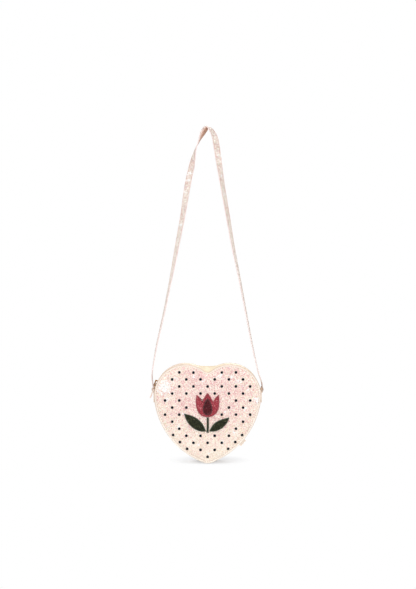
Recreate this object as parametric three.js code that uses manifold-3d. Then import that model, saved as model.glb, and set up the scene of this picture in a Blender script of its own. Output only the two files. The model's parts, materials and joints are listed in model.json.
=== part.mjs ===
// A child's heart-shaped shoulder bag with a glitter front, hanging by its strap.
// Millimetres, +Z up, front towards -Y. The origin is where a hook would hold the strap.
import * as THREE from "three";
import { mergeVertices } from "three/addons/utils/BufferGeometryUtils.js";
import Module from "manifold-3d";

const wasm = await Module();
wasm.setup();

// Heart outline, seen from the front. Inside the bag, heights count from the lobe centres.
const LOBE_RADIUS = 47.8;
const LOBE_SPREAD = 34.2;
const DIP_RADIUS = 7.5;
const SIDE_RADIUS = 117;
const TIP_RADIUS = 16;
const TIP_DROP = 103.3;
const BAG_DEPTH = 50;

// Cloth layers and the seam clearance between neighbouring pieces.
const GAP = 0.3;
const COVER = 1.4;
const PADDING = 1.5;
const BOARD = 1.5;
const LINING = 0.6;
const SIDE_CLOTH = 1.2;

// Swell of the padded front: its height, and how much of the tip's radius stays flat inside it.
const CROWN = 4;
const CROWN_TIP_LEFT = 4;

// The line where the front bends when the bag is opened, and how far the inner layers above it are
// drawn in, so that they bend past the gusset.
const FOLD_RISE = 8;
const FLAP_CLEARANCE = 1.2;

// Zip. Angles are degrees on a lobe, up from its outermost point.
const ZIP_DIP_RADIUS = 110;
const ZIP_END_ANGLE = 2;
const MOUTH_END_ANGLE = 30;
const EAR_OVERLAP = 1;
const FRONT_FACING = 8;
const SLOT_HALF = 5.6;
const TAPE_HALF = 7.4;
const TAPE = 0.7;
const SLIT_HALF = 0.7;
const COIL = 1.8;
const COIL_ROOT = 0.8;
const COIL_WIDTH = 2.4;
const COIL_PITCH = 2.6;
const STOP_ANGLE = 7;
const STOP_LENGTH = 2;
const STOP_WIDTH = 6;
const STOP_HEIGHT = 1;

// Zip slider: two plates joined by a web through the slit, and a bridge that holds the pull.
const SLIDER_ANGLE = 22;
const SLIDER_LENGTH = 12.4;
const SLIDER_WIDTH = 8.4;
const SLIDER_PLATE = 1.3;
const SLIDER_CORNER = 1.7;
const SLIDER_FLANGE = 0.8;
const FLANGE_LENGTH = 8.6;
const WEB_LENGTH = 4.5;
const BRIDGE_LENGTH = 9.6;
const BRIDGE_WIDTH = 3.2;
const BRIDGE_WALL = 1.8;
const BRIDGE_ROOM = 2;

// Zip pull: a stamped ring and a folded glitter tab.
const RING_WIDTH = 7.4;
const RING_LENGTH = 10.4;
const RING_BAR = 1.1;
const RING_PLATE = 1;
const PULL_TAB = 2;
const PULL_TAB_LENGTH = 15;
const PULL_TAB_WRAP = 2.2;

// Strap, from the hook down to the rivets, and what joins it to the bag.
const STRAP_DROP = 408;
const STRAP_WIDTH = 10;
const STRAP = 1.4;
const STRAP_SET_BACK = 1.5;
const RIVET_RISE = 8;
const RIVET_POST = 1.6;
const RIVET_CAP = 2.8;
const RIVET_DOME = 0.9;
const RIVET_HEAD = 2.8;
const ANCHOR_TAB = 1;
const ANCHOR_TAB_STAND = 0.8;
const ANCHOR_TAB_WIDTH = 12;
const ANCHOR_TAB_TOP = 5;
const ANCHOR_TAB_FOOT = 12;

// Sewn decoration on the front, and the small folded tab in the side seam.
const PATCH = 0.8;
const PATCH_DROP = 26;
const FLOWER_WIDTH = 34;
const FLOWER_HEIGHT = 37;
const FLOWER_FOOT = -6;
const PETAL_WIDTH = 15;
const PETAL_HEIGHT = 26.5;
const PETAL_MARGIN = 2.5;
const STEM_GAP = 0.8;
const STEM_WIDTH = 3.2;
const STEM_LENGTH = 23.2;
const LEAF_REACH = 36;
const LEAF_HEIGHT = 28;
const LEAF_DIFFERENCE = 3;
const LEAF_MARGIN = 1;
const SIDE_TAB_LENGTH = 12;
const SIDE_TAB_REACH = 3.4;
const SIDE_TAB = 1;
const SIDE_TAB_ANGLE = -42;

// Steps of the round stretches.
const LOBE_STEPS = 13;
const DIP_STEPS = 3;
const SIDE_STEPS = 8;
const TIP_STEPS = 4;
const ZIP_STEP = 4.6;
const STRAP_STEPS = 3;
const PIN_SIDES = 20;
const WRAP_STEPS = 12;
const TAB_STEPS = 10;
const DOME_STEPS = 3;
const PATCH_STEPS = 8;

// Corners nearer than this are one corner.
const WELD = 1e-4;

const RIGHT_ANGLE = Math.PI / 2;
const radians = THREE.MathUtils.degToRad;

const glitter = new THREE.MeshStandardMaterial({ color: "#f6dcd6", roughness: 0.45 });
const cream = new THREE.MeshStandardMaterial({ color: "#f6ebcf", roughness: 0.6 });
const lining = new THREE.MeshStandardMaterial({ color: "#efe2d4", roughness: 0.9 });
const foam = new THREE.MeshStandardMaterial({ color: "#f2efe6", roughness: 0.95 });
const board = new THREE.MeshStandardMaterial({ color: "#b9a58a", roughness: 0.9 });
const gold = new THREE.MeshStandardMaterial({ color: "#b08a4a", roughness: 0.3, metalness: 1 });
const nylon = new THREE.MeshStandardMaterial({ color: "#ece0c4", roughness: 0.5 });
const red = new THREE.MeshStandardMaterial({ color: "#a83a46", roughness: 0.5 });
const darkRed = new THREE.MeshStandardMaterial({ color: "#5a1820", roughness: 0.5 });
const green = new THREE.MeshStandardMaterial({ color: "#25301f", roughness: 0.5 });

// Depths of the layers, counted from the front face and from the back face.
const FRONT_Y = -BAG_DEPTH / 2;
const BACK_Y = BAG_DEPTH / 2;
const FRONT_STACK = COVER + GAP + PADDING + GAP + LINING;
const BACK_STACK = COVER + GAP + BOARD + GAP + LINING;
const SIDE_FRONT_Y = FRONT_Y + COVER + GAP;
const SIDE_BACK_Y = BACK_Y - COVER - GAP;
const ZIP_Y = SIDE_FRONT_Y + FRONT_FACING + SLOT_HALF;
const INNER_INSET = SIDE_CLOTH + GAP;
const TAPE_INSET = SIDE_CLOTH + GAP;
const COIL_INSET = TAPE_INSET + TAPE + GAP;
const GAP_ANGLE = THREE.MathUtils.radToDeg(GAP / LOBE_RADIUS);
const WIDEST = LOBE_SPREAD + LOBE_RADIUS;
const TAB_X = WIDEST + ANCHOR_TAB_STAND;
const STRAP_X = TAB_X + ANCHOR_TAB + GAP + STRAP / 2;
const BAG_Z = STRAP / 2 - STRAP_DROP - RIVET_RISE;

// Closed mesh to solid and back, for cuts and joins.
function toSolid(geometry) {
  const bare = geometry.clone();
  bare.deleteAttribute("normal");
  bare.deleteAttribute("uv");
  const merged = mergeVertices(bare, WELD);
  return new wasm.Manifold(new wasm.Mesh({
    numProp: 3,
    vertProperties: new Float32Array(merged.attributes.position.array),
    triVerts: new Uint32Array(merged.index.array),
  }));
}

function toGeometry(solid) {
  const mesh = solid.getMesh();
  const geometry = new THREE.BufferGeometry();
  geometry.setAttribute("position", new THREE.BufferAttribute(mesh.vertProperties, 3));
  geometry.setIndex(new THREE.BufferAttribute(mesh.triVerts, 1));
  return geometry;
}

const join = (first, ...others) => {
  return toGeometry(others.reduce((sum, other) => sum.add(toSolid(other)), toSolid(first)));
};
const cut = (whole, tool) => toGeometry(toSolid(whole).subtract(toSolid(tool)));
const keep = (whole, region) => toGeometry(toSolid(whole).intersect(toSolid(region)));

function blockBetween(low, high) {
  const size = high.map((value, i) => value - low[i]);
  const centre = high.map((value, i) => (value + low[i]) / 2);
  return new THREE.BoxGeometry(...size).translate(...centre);
}

// A figure in the plane of X and Z, given a thickness from one depth to another.
function plate(shape, fromY, toY) {
  const geometry = new THREE.ExtrudeGeometry(shape, {
    depth: toY - fromY, bevelEnabled: false, curveSegments: PATCH_STEPS,
  });
  return geometry.rotateX(RIGHT_ANGLE).translate(0, toY, 0);
}

// A figure in the plane of Y and Z, given a thickness from one place along X to another.
function sidePlate(shape, fromX, toX) {
  const flat = new THREE.ExtrudeGeometry(shape, { depth: toX - fromX, bevelEnabled: false });
  const [x, y, z] = [new THREE.Vector3(1, 0, 0), new THREE.Vector3(0, 1, 0), new THREE.Vector3(0, 0, 1)];
  return flat.applyMatrix4(new THREE.Matrix4().makeBasis(y, z, x)).translate(fromX, 0, 0);
}

const figure = (points) => new THREE.Shape(points);

// Triangles of a flat cap, turning the same way as the ring.
function capTriangles(ring, flatten) {
  const contour = ring.map(flatten);
  const turn = Math.sign(THREE.ShapeUtils.area(contour));
  return THREE.ShapeUtils.triangulateShape(contour, []).map(([a, b, c]) => {
    const same = Math.sign(THREE.ShapeUtils.area([contour[a], contour[b], contour[c]])) === turn;
    return same ? [a, b, c] : [a, c, b];
  });
}

// Skin over closed rings of points, capped at the first and the last ring.
function skinRings(rings, flatten) {
  const count = rings[0].length;
  const last = (rings.length - 1) * count;
  const points = rings.flat();
  const faces = [];
  for (let base = 0; base < last; base += count) {
    for (let i = 0; i < count; i += 1) {
      const next = (i + 1) % count;
      faces.push([base + i, base + next, base + count + next]);
      faces.push([base + i, base + count + next, base + count + i]);
    }
  }
  capTriangles(rings[0], flatten).forEach(([a, b, c]) => faces.push([a, c, b]));
  capTriangles(rings.at(-1), flatten).forEach((face) => faces.push(face.map((i) => last + i)));
  const six = faces.reduce((sum, [a, b, c]) => {
    return sum + points[a].dot(new THREE.Vector3().crossVectors(points[b], points[c]));
  }, 0);
  const outward = six > 0 ? faces : faces.map(([a, b, c]) => [a, c, b]);
  const geometry = new THREE.BufferGeometry().setFromPoints(points);
  geometry.setIndex(outward.flat());
  return geometry;
}

const flatXZ = (p) => new THREE.Vector2(p.x, p.z);

// Points on an arc round a centre in the plane of X and Z, angles in radians from +X.
function arc(centre, radius, from, to, steps) {
  return Array.from({ length: steps + 1 }, (_, i) => {
    const angle = from + ((to - from) * i) / steps;
    return new THREE.Vector2(centre.x + radius * Math.cos(angle), centre.y + radius * Math.sin(angle));
  });
}

const mirrored = (points) => points.map((p) => new THREE.Vector2(-p.x, p.y)).reverse();

// The heart's arcs on the right half. A side arc touches both the lobe and the tip from outside.
const lobeCentre = new THREE.Vector2(LOBE_SPREAD, 0);
const tipCentre = new THREE.Vector2(0, TIP_RADIUS - TIP_DROP);
const sideCentre = (() => {
  const toLobe = SIDE_RADIUS - LOBE_RADIUS;
  const toTip = SIDE_RADIUS - TIP_RADIUS;
  const apart = lobeCentre.distanceTo(tipCentre);
  const along = (toLobe ** 2 - toTip ** 2 + apart ** 2) / (2 * apart);
  const across = Math.sqrt(toLobe ** 2 - along ** 2);
  const direction = tipCentre.clone().sub(lobeCentre).normalize();
  const sideways = new THREE.Vector2(direction.y, -direction.x);
  return lobeCentre.clone().addScaledVector(direction, along).addScaledVector(sideways, across);
})();
const heading = (from, to) => Math.atan2(to.y - from.y, to.x - from.x);
const lobeToSide = heading(sideCentre, lobeCentre);
const sideToTip = heading(sideCentre, tipCentre);

// Centre of the dip's arc, which touches both lobes, and the angle on the lobe where it starts.
function dipArc(radius) {
  const rise = Math.sqrt((LOBE_RADIUS + radius) ** 2 - LOBE_SPREAD ** 2);
  return { centre: new THREE.Vector2(0, rise), start: Math.PI - Math.atan2(rise, LOBE_SPREAD) };
}

const panelDip = dipArc(DIP_RADIUS);
const zipDip = dipArc(ZIP_DIP_RADIUS);

// Right half of the outline below an angle on the lobe, down to the tip. Where the side's arc
// reaches above that angle, the half starts on the side.
function lowerHalf(inset, startAngle, lobeSteps) {
  const side = arc(sideCentre, SIDE_RADIUS - inset, Math.min(startAngle, lobeToSide), sideToTip, SIDE_STEPS);
  const tip = arc(tipCentre, TIP_RADIUS - inset, sideToTip, -RIGHT_ANGLE, TIP_STEPS);
  const below = [...side, ...tip.slice(1)];
  if (startAngle <= lobeToSide) {
    return below;
  }
  return [...arc(lobeCentre, LOBE_RADIUS - inset, startAngle, lobeToSide, lobeSteps), ...below.slice(1)];
}

// The whole heart, drawn in by an inset, from the dip round the right side and back.
function heart(inset) {
  const dip = arc(panelDip.centre, DIP_RADIUS + inset, -RIGHT_ANGLE, panelDip.start - Math.PI, DIP_STEPS);
  const half = [...dip, ...lowerHalf(inset, panelDip.start, LOBE_STEPS).slice(1)];
  return [...half, ...mirrored(half).slice(1, -1)];
}

// A point on the zip's line, by its distance from the middle of the dip along the outer face.
const zipDipHalf = ZIP_DIP_RADIUS * (zipDip.start - RIGHT_ANGLE);
function zipPoint(distance, inset) {
  const side = Math.sign(distance);
  const away = Math.abs(distance);
  if (away < zipDipHalf) {
    const angle = -RIGHT_ANGLE + away / ZIP_DIP_RADIUS;
    const radius = ZIP_DIP_RADIUS + inset;
    return new THREE.Vector2(side * radius * Math.cos(angle), zipDip.centre.y + radius * Math.sin(angle));
  }
  const angle = zipDip.start - (away - zipDipHalf) / LOBE_RADIUS;
  const radius = LOBE_RADIUS - inset;
  return new THREE.Vector2(side * (LOBE_SPREAD + radius * Math.cos(angle)), radius * Math.sin(angle));
}

// Distance along the zip from the middle to an angle on the lobe.
const zipDistance = (degrees) => zipDipHalf + LOBE_RADIUS * (zipDip.start - radians(degrees));

function stations(from, to, step) {
  const count = Math.round((to - from) / step);
  return Array.from({ length: count + 1 }, (_, i) => from + ((to - from) * i) / count);
}

// Height of the front or back seam over a place between the lobes.
function seamHeight(x, inset) {
  const offset = Math.abs(x);
  const dipRadius = DIP_RADIUS + inset;
  const touch = LOBE_SPREAD + LOBE_RADIUS * Math.cos(panelDip.start);
  if (offset < touch) {
    return panelDip.centre.y - Math.sqrt(dipRadius ** 2 - offset ** 2);
  }
  return Math.sqrt((LOBE_RADIUS - inset) ** 2 - (LOBE_SPREAD - offset) ** 2);
}

// Cloth from the zip's slot to a seam. It lies flat over the edge of the tape, and between the
// lobes it then saddles down to the seam. The end bow keeps the end caps' outlines from being
// straight lines, which have no triangles.
const FACING_ROWS = [0, 0.4, 0.7, 1];
const SADDLE_EASE = 1.5;
const END_BOW = 1e-3;
function facing(endAngle, slotY, tapeY, seamY) {
  const saddle = FACING_ROWS.map((share) => ({ y: THREE.MathUtils.lerp(tapeY, seamY, share), share }));
  const rows = [{ y: slotY, share: 0 }, ...saddle];
  const reach = zipDistance(endAngle);
  const at = (distance, inset, row) => {
    const p = zipPoint(distance, inset);
    const between = Math.abs(p.x) < LOBE_SPREAD;
    const fall = row.share ** SADDLE_EASE;
    const height = between ? THREE.MathUtils.lerp(p.y, seamHeight(p.x, inset), fall) : p.y;
    return new THREE.Vector3(p.x, row.y, height);
  };
  const rings = stations(-reach, reach, ZIP_STEP).map((distance) => [
    ...rows.map((row) => at(distance, 0, row)),
    ...rows.map((row) => at(distance, SIDE_CLOTH, row)).reverse(),
  ]);
  const flatten = (p) => {
    const radius = Math.hypot(Math.abs(p.x) - LOBE_SPREAD, p.z);
    return new THREE.Vector2(p.y, radius + END_BOW * p.y ** 2);
  };
  return skinRings(rings, flatten);
}

// Tape: a strip along the zip, of even thickness.
function zipStrip(from, to, inset, thickness, fromY, toY) {
  const along = stations(from, to, ZIP_STEP);
  const outer = along.map((d) => zipPoint(d, inset));
  const inner = along.map((d) => zipPoint(d, inset + thickness)).reverse();
  return plate(figure([...outer, ...inner]), fromY, toY);
}

// Coil: a strip along the zip with ribs on its inner side.
function zipCoil(from, to, fromY, toY) {
  const outer = stations(from, to, ZIP_STEP).map((d) => zipPoint(d, COIL_INSET));
  const teeth = stations(from, to, COIL_PITCH);
  const pitch = teeth[1] - teeth[0];
  const ribs = teeth.slice(0, -1).flatMap((d) => [
    zipPoint(d, COIL_INSET + COIL),
    zipPoint(d + pitch / 2, COIL_INSET + COIL),
    zipPoint(d + pitch / 2, COIL_INSET + COIL_ROOT),
    zipPoint(d + pitch, COIL_INSET + COIL_ROOT),
  ]);
  return plate(figure([...outer, ...ribs.reverse()]), fromY, toY);
}

// A heart of even thickness between two depths.
const heartPlate = (inset, fromY, toY) => plate(figure(heart(inset)), fromY, toY);

// Rings of the swelled front from its edge to its flat middle: inset and share of the swell.
const crownReach = TIP_RADIUS - CROWN_TIP_LEFT;
const crownRings = [[0, 0], [0.12, 0.34], [0.32, 0.66], [0.62, 0.91], [1, 1]];
const crownShare = (inset) => {
  const place = Math.min(inset / crownReach, 1);
  const i = Math.max(crownRings.findIndex(([reach]) => reach >= place), 1);
  const [a, b] = [crownRings[i - 1], crownRings[i]];
  return THREE.MathUtils.mapLinear(place, a[0], b[0], a[1], b[1]);
};

const ringAt = (inset, y) => heart(inset).map((p) => new THREE.Vector3(p.x, y, p.y));

// Front cloth: swelled on both faces.
function frontCover() {
  const insets = crownRings.map(([reach]) => reach * crownReach);
  const outer = insets.map((inset) => ringAt(inset, FRONT_Y - CROWN * crownShare(inset)));
  const inner = insets.map((inset) => ringAt(inset, FRONT_Y + COVER - CROWN * crownShare(inset)));
  return skinRings([...inner.reverse(), ...outer], flatXZ);
}

// Padding inside an edge inset: swelled towards the cloth, flat towards the lining.
function frontPadding(edge) {
  const insets = crownRings.map(([reach]) => edge + reach * (crownReach - edge));
  const rest = FRONT_Y + COVER + GAP;
  const outer = insets.map((inset) => ringAt(inset, rest - CROWN * crownShare(inset)));
  return skinRings([ringAt(insets[0], rest + PADDING), ...outer], flatXZ);
}

// Everything above or below the fold line, half a gap clear of it.
const FAR = 4 * (LOBE_RADIUS + TIP_DROP);
const aboveFold = blockBetween([-FAR, -FAR, FOLD_RISE + GAP / 2], [FAR, FAR, FAR]);
const belowFold = blockBetween([-FAR, -FAR, -FAR], [FAR, FAR, FOLD_RISE - GAP / 2]);

const object = new THREE.Group();
const bag = new THREE.Group();
bag.position.set(0, -STRAP_SET_BACK, BAG_Z);
object.add(bag);

function add(group, name, geometry, material) {
  const mesh = new THREE.Mesh(geometry, material);
  mesh.name = name;
  group.add(mesh);
}

// Front: cloth, padding and lining, each bending at the fold line.
const liningFrontY = FRONT_Y + FRONT_STACK - LINING;
const frontLining = (edge) => heartPlate(edge, liningFrontY, liningFrontY + LINING);
const frontHalves = [
  ["upper", aboveFold, INNER_INSET + FLAP_CLEARANCE],
  ["lower", belowFold, INNER_INSET],
];
frontHalves.forEach(([half, region, edge]) => {
  add(bag, `front_cover_${half}`, keep(frontCover(), region), glitter);
  add(bag, `front_padding_${half}`, keep(frontPadding(edge), region), foam);
  add(bag, `front_lining_${half}`, keep(frontLining(edge), region), lining);
});

// Back: cloth, stiffening board and lining.
const boardY = BACK_Y - COVER - GAP - BOARD;
const liningBackY = BACK_Y - BACK_STACK;
add(bag, "back_cover", heartPlate(0, BACK_Y - COVER, BACK_Y), glitter);
add(bag, "back_board", heartPlate(INNER_INSET, boardY, boardY + BOARD), board);
add(bag, "back_lining", heartPlate(INNER_INSET, liningBackY, liningBackY + LINING), lining);

// Gusset: one band round the tip, with an ear in front of each end of the zip.
function band(inset, thickness, endAngle, fromY, toY) {
  const half = (from) => lowerHalf(from, radians(endAngle), DIP_STEPS);
  const whole = (from) => [...half(from), ...mirrored(half(from)).slice(1)];
  return plate(figure([...whole(inset), ...whole(inset + thickness).reverse()]), fromY, toY);
}

function ear(side) {
  const angles = [ZIP_END_ANGLE - EAR_OVERLAP, MOUTH_END_ANGLE - GAP_ANGLE].map(radians);
  const outer = arc(lobeCentre, LOBE_RADIUS, ...angles, DIP_STEPS);
  const inner = arc(lobeCentre, LOBE_RADIUS - SIDE_CLOTH, ...angles, DIP_STEPS).reverse();
  const outline = [...outer, ...inner].map((p) => new THREE.Vector2(side * p.x, p.y));
  return plate(figure(outline), SIDE_FRONT_Y, ZIP_Y - SLOT_HALF);
}

const gussetBand = band(0, SIDE_CLOTH, ZIP_END_ANGLE, SIDE_FRONT_Y, SIDE_BACK_Y);
add(bag, "gusset", join(gussetBand, ear(1), ear(-1)), cream);
const liningRoom = [FRONT_Y + FRONT_STACK + GAP, BACK_Y - BACK_STACK - GAP];
add(bag, "gusset_lining", band(INNER_INSET, LINING, 0, ...liningRoom), lining);

// Zip facings, tapes and coils. The front ones move with the upper front.
const mouthReach = zipDistance(MOUTH_END_ANGLE);
const zipReach = zipDistance(ZIP_END_ANGLE) - GAP;
const coilReach = zipDistance(STOP_ANGLE) - STOP_LENGTH;
const frontFacing = [ZIP_Y - SLOT_HALF, ZIP_Y - TAPE_HALF, SIDE_FRONT_Y];
const backFacing = [ZIP_Y + SLOT_HALF, ZIP_Y + TAPE_HALF, SIDE_BACK_Y];
add(bag, "zip_facing_front", facing(MOUTH_END_ANGLE, ...frontFacing), cream);
add(bag, "zip_facing_back", facing(ZIP_END_ANGLE + GAP_ANGLE, ...backFacing), cream);
const frontTape = [TAPE_INSET, TAPE, ZIP_Y - TAPE_HALF, ZIP_Y - SLIT_HALF];
const backTape = [TAPE_INSET, TAPE, ZIP_Y + SLIT_HALF, ZIP_Y + TAPE_HALF];
add(bag, "zip_tape_front", zipStrip(-mouthReach, mouthReach, ...frontTape), nylon);
add(bag, "zip_tape_back", zipStrip(-zipReach, zipReach, ...backTape), nylon);
const frontCoil = [ZIP_Y - SLIT_HALF - COIL_WIDTH, ZIP_Y - SLIT_HALF];
const backCoil = [ZIP_Y + SLIT_HALF, ZIP_Y + SLIT_HALF + COIL_WIDTH];
add(bag, "zip_coil_front", zipCoil(-mouthReach, mouthReach, ...frontCoil), nylon);
add(bag, "zip_coil_back", zipCoil(-coilReach, coilReach, ...backCoil), nylon);

// At each end of the zip a patch of tape stays sewn shut, with a metal stop across the slit.
[["left", -1], ["right", 1]].forEach(([name, side]) => {
  const [near, far] = [mouthReach + GAP, zipReach];
  const ends = side > 0 ? [near, far] : [-far, -near];
  add(bag, `zip_end_patch_${name}`, zipStrip(...ends, ...frontTape), nylon);
  const stop = blockBetween(
    [LOBE_RADIUS - TAPE_INSET + GAP, ZIP_Y - STOP_WIDTH / 2, -STOP_LENGTH / 2],
    [LOBE_RADIUS - TAPE_INSET + GAP + STOP_HEIGHT, ZIP_Y + STOP_WIDTH / 2, STOP_LENGTH / 2],
  );
  stop.rotateY(-radians(STOP_ANGLE)).translate(LOBE_SPREAD, 0, 0);
  add(bag, `zip_stop_${name}`, side > 0 ? stop : stop.rotateZ(Math.PI).translate(0, 2 * ZIP_Y, 0), gold);
});

// Slider and pull, drawn on the left lobe's outermost point and turned up to their place.
// There -X is away from the bag, and the pull hangs towards -Z.
const slider = new THREE.Group();
slider.position.set(-LOBE_SPREAD, 0, 0);
slider.rotation.y = radians(SLIDER_ANGLE);
bag.add(slider);

const halfLength = SLIDER_LENGTH / 2;
const halfWidth = SLIDER_WIDTH / 2;
const chord = (radius) => Math.sqrt(radius ** 2 - halfLength ** 2);
const topFloor = LOBE_RADIUS - TAPE_INSET + GAP;
const topRoof = topFloor + SLIDER_PLATE;
const baseRoof = chord(LOBE_RADIUS - COIL_INSET - COIL - GAP);
const flangeRoof = chord(LOBE_RADIUS - TAPE_INSET - TAPE - GAP);
const pullAxis = topRoof + BRIDGE_ROOM / 2;

// A plate with cut corners, lying against the track, between two distances from the lobe's axis.
function sliderPlate(low, high) {
  const nose = halfWidth - SLIDER_CORNER;
  const shoulder = SLIDER_CORNER;
  const outline = [
    [nose, -halfLength], [halfWidth, -halfLength + shoulder], [halfWidth, halfLength - shoulder],
    [nose, halfLength], [-nose, halfLength], [-halfWidth, halfLength - shoulder],
    [-halfWidth, -halfLength + shoulder], [-nose, -halfLength],
  ].map(([across, along]) => new THREE.Vector2(across, along));
  return sidePlate(figure(outline), -high, -low).translate(0, ZIP_Y, 0);
}

function sliderBody() {
  const webHalf = SLIT_HALF - GAP;
  const flangeFoot = baseRoof - SLIDER_PLATE / 2;
  const web = blockBetween(
    [-topFloor - SLIDER_PLATE / 2, ZIP_Y - webHalf, -halfLength + SLIDER_PLATE],
    [-flangeFoot, ZIP_Y + webHalf, -halfLength + SLIDER_PLATE + WEB_LENGTH],
  );
  const flanges = [-1, 1].map((side) => {
    const edge = ZIP_Y + side * (halfWidth - SLIDER_FLANGE / 2);
    return blockBetween(
      [-flangeRoof, edge - SLIDER_FLANGE / 2, -FLANGE_LENGTH / 2],
      [-flangeFoot, edge + SLIDER_FLANGE / 2, FLANGE_LENGTH / 2],
    );
  });
  const bridgeTop = topRoof + BRIDGE_ROOM + BRIDGE_WALL;
  const bridge = blockBetween(
    [-bridgeTop, ZIP_Y - BRIDGE_WIDTH / 2, -BRIDGE_LENGTH / 2],
    [-topRoof + SLIDER_PLATE / 2, ZIP_Y + BRIDGE_WIDTH / 2, BRIDGE_LENGTH / 2],
  );
  const room = blockBetween(
    [-topRoof - BRIDGE_ROOM, ZIP_Y - BRIDGE_WIDTH, -BRIDGE_LENGTH / 2 + BRIDGE_WALL],
    [-topRoof, ZIP_Y + BRIDGE_WIDTH, BRIDGE_LENGTH / 2 - BRIDGE_WALL],
  );
  const plates = [sliderPlate(topFloor, topRoof), sliderPlate(baseRoof - SLIDER_PLATE, baseRoof)];
  return join(plates[0], plates[1], web, ...flanges, cut(bridge, room));
}

add(slider, "zip_slider", sliderBody(), gold);

// The ring's upper bar lies in the bridge, on the pull's axis.
function pullRing() {
  const top = RING_BAR / 2;
  const bottom = top - RING_LENGTH;
  const outer = blockBetween(
    [-pullAxis - RING_PLATE / 2, ZIP_Y - RING_WIDTH / 2, bottom],
    [-pullAxis + RING_PLATE / 2, ZIP_Y + RING_WIDTH / 2, top],
  );
  const inner = blockBetween(
    [-pullAxis - RING_PLATE, ZIP_Y - RING_WIDTH / 2 + RING_BAR, bottom + RING_BAR],
    [-pullAxis + RING_PLATE, ZIP_Y + RING_WIDTH / 2 - RING_BAR, top - RING_BAR],
  );
  return cut(outer, inner);
}

// The tab is folded round the ring's lower bar.
function pullTab() {
  const barZ = RING_BAR - RING_LENGTH;
  const half = RING_WIDTH / 2 - RING_BAR - GAP;
  const eye = new THREE.Vector2(-pullAxis, barZ);
  const start = Math.asin(PULL_TAB / 2 / PULL_TAB_WRAP) - RIGHT_ANGLE;
  const wrap = arc(eye, PULL_TAB_WRAP, start, 2 * RIGHT_ANGLE - start, WRAP_STEPS);
  const end = [
    new THREE.Vector2(-pullAxis - PULL_TAB / 2, barZ - PULL_TAB_LENGTH),
    new THREE.Vector2(-pullAxis + PULL_TAB / 2, barZ - PULL_TAB_LENGTH),
  ];
  const hole = Math.hypot(RING_BAR, RING_PLATE) / 2 + GAP;
  const bore = new THREE.CylinderGeometry(hole, hole, 4 * half, WRAP_STEPS);
  bore.translate(-pullAxis, ZIP_Y, barZ);
  return cut(plate(figure([...wrap, ...end]), ZIP_Y - half, ZIP_Y + half), bore);
}

add(slider, "zip_pull_ring", pullRing(), gold);
add(slider, "zip_pull_tab", pullTab(), glitter);

// Rivets and anchor tabs at both sides.
function hingePin(radius, reach) {
  return new THREE.CylinderGeometry(radius, radius, reach, PIN_SIDES).rotateZ(RIGHT_ANGLE);
}

function anchorTab(side) {
  const round = ANCHOR_TAB_WIDTH / 2;
  const shape = figure([
    ...arc(new THREE.Vector2(0, RIVET_RISE + ANCHOR_TAB_TOP - round), round, 0, Math.PI, TAB_STEPS),
    new THREE.Vector2(-round, -ANCHOR_TAB_FOOT), new THREE.Vector2(round, -ANCHOR_TAB_FOOT),
  ]);
  const reach = side > 0 ? [TAB_X, TAB_X + ANCHOR_TAB] : [-TAB_X - ANCHOR_TAB, -TAB_X];
  const tab = sidePlate(shape, ...reach).translate(0, STRAP_SET_BACK, 0);
  return cut(tab, hingePin(RIVET_POST + GAP, 4 * WIDEST).translate(0, STRAP_SET_BACK, RIVET_RISE));
}

// Outside dome, post and a flat head in the room between the tab and the curved gusset.
function rivet(side) {
  const room = LOBE_RADIUS - Math.sqrt(LOBE_RADIUS ** 2 - (RIVET_RISE - RIVET_HEAD) ** 2);
  const headRoof = TAB_X - GAP;
  const capFoot = STRAP_X + STRAP / 2 + GAP;
  const dome = arc(new THREE.Vector2(), 1, 0, RIGHT_ANGLE, DOME_STEPS).map((p) => {
    return [RIVET_CAP * p.x, capFoot + RIVET_DOME * p.y];
  });
  const profile = [
    [0, WIDEST - room + GAP], [RIVET_HEAD, WIDEST - room + GAP], [RIVET_HEAD, headRoof],
    [RIVET_POST, headRoof], [RIVET_POST, capFoot], ...dome,
  ].map(([radius, reach]) => new THREE.Vector2(Math.max(radius, 0), reach));
  profile.at(-1).x = 0;
  const turned = new THREE.LatheGeometry(profile, PIN_SIDES).rotateZ(-side * RIGHT_ANGLE);
  return turned.translate(0, STRAP_SET_BACK, RIVET_RISE);
}

[["left", -1], ["right", 1]].forEach(([name, side]) => {
  add(bag, `anchor_tab_${name}`, anchorTab(side), cream);
  add(bag, `strap_rivet_${name}`, rivet(side), gold);
});

// Rings of the strap's round end, as shares of its radius.
const STRAP_END_RINGS = [0.5, 0.8, 0.96];

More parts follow.
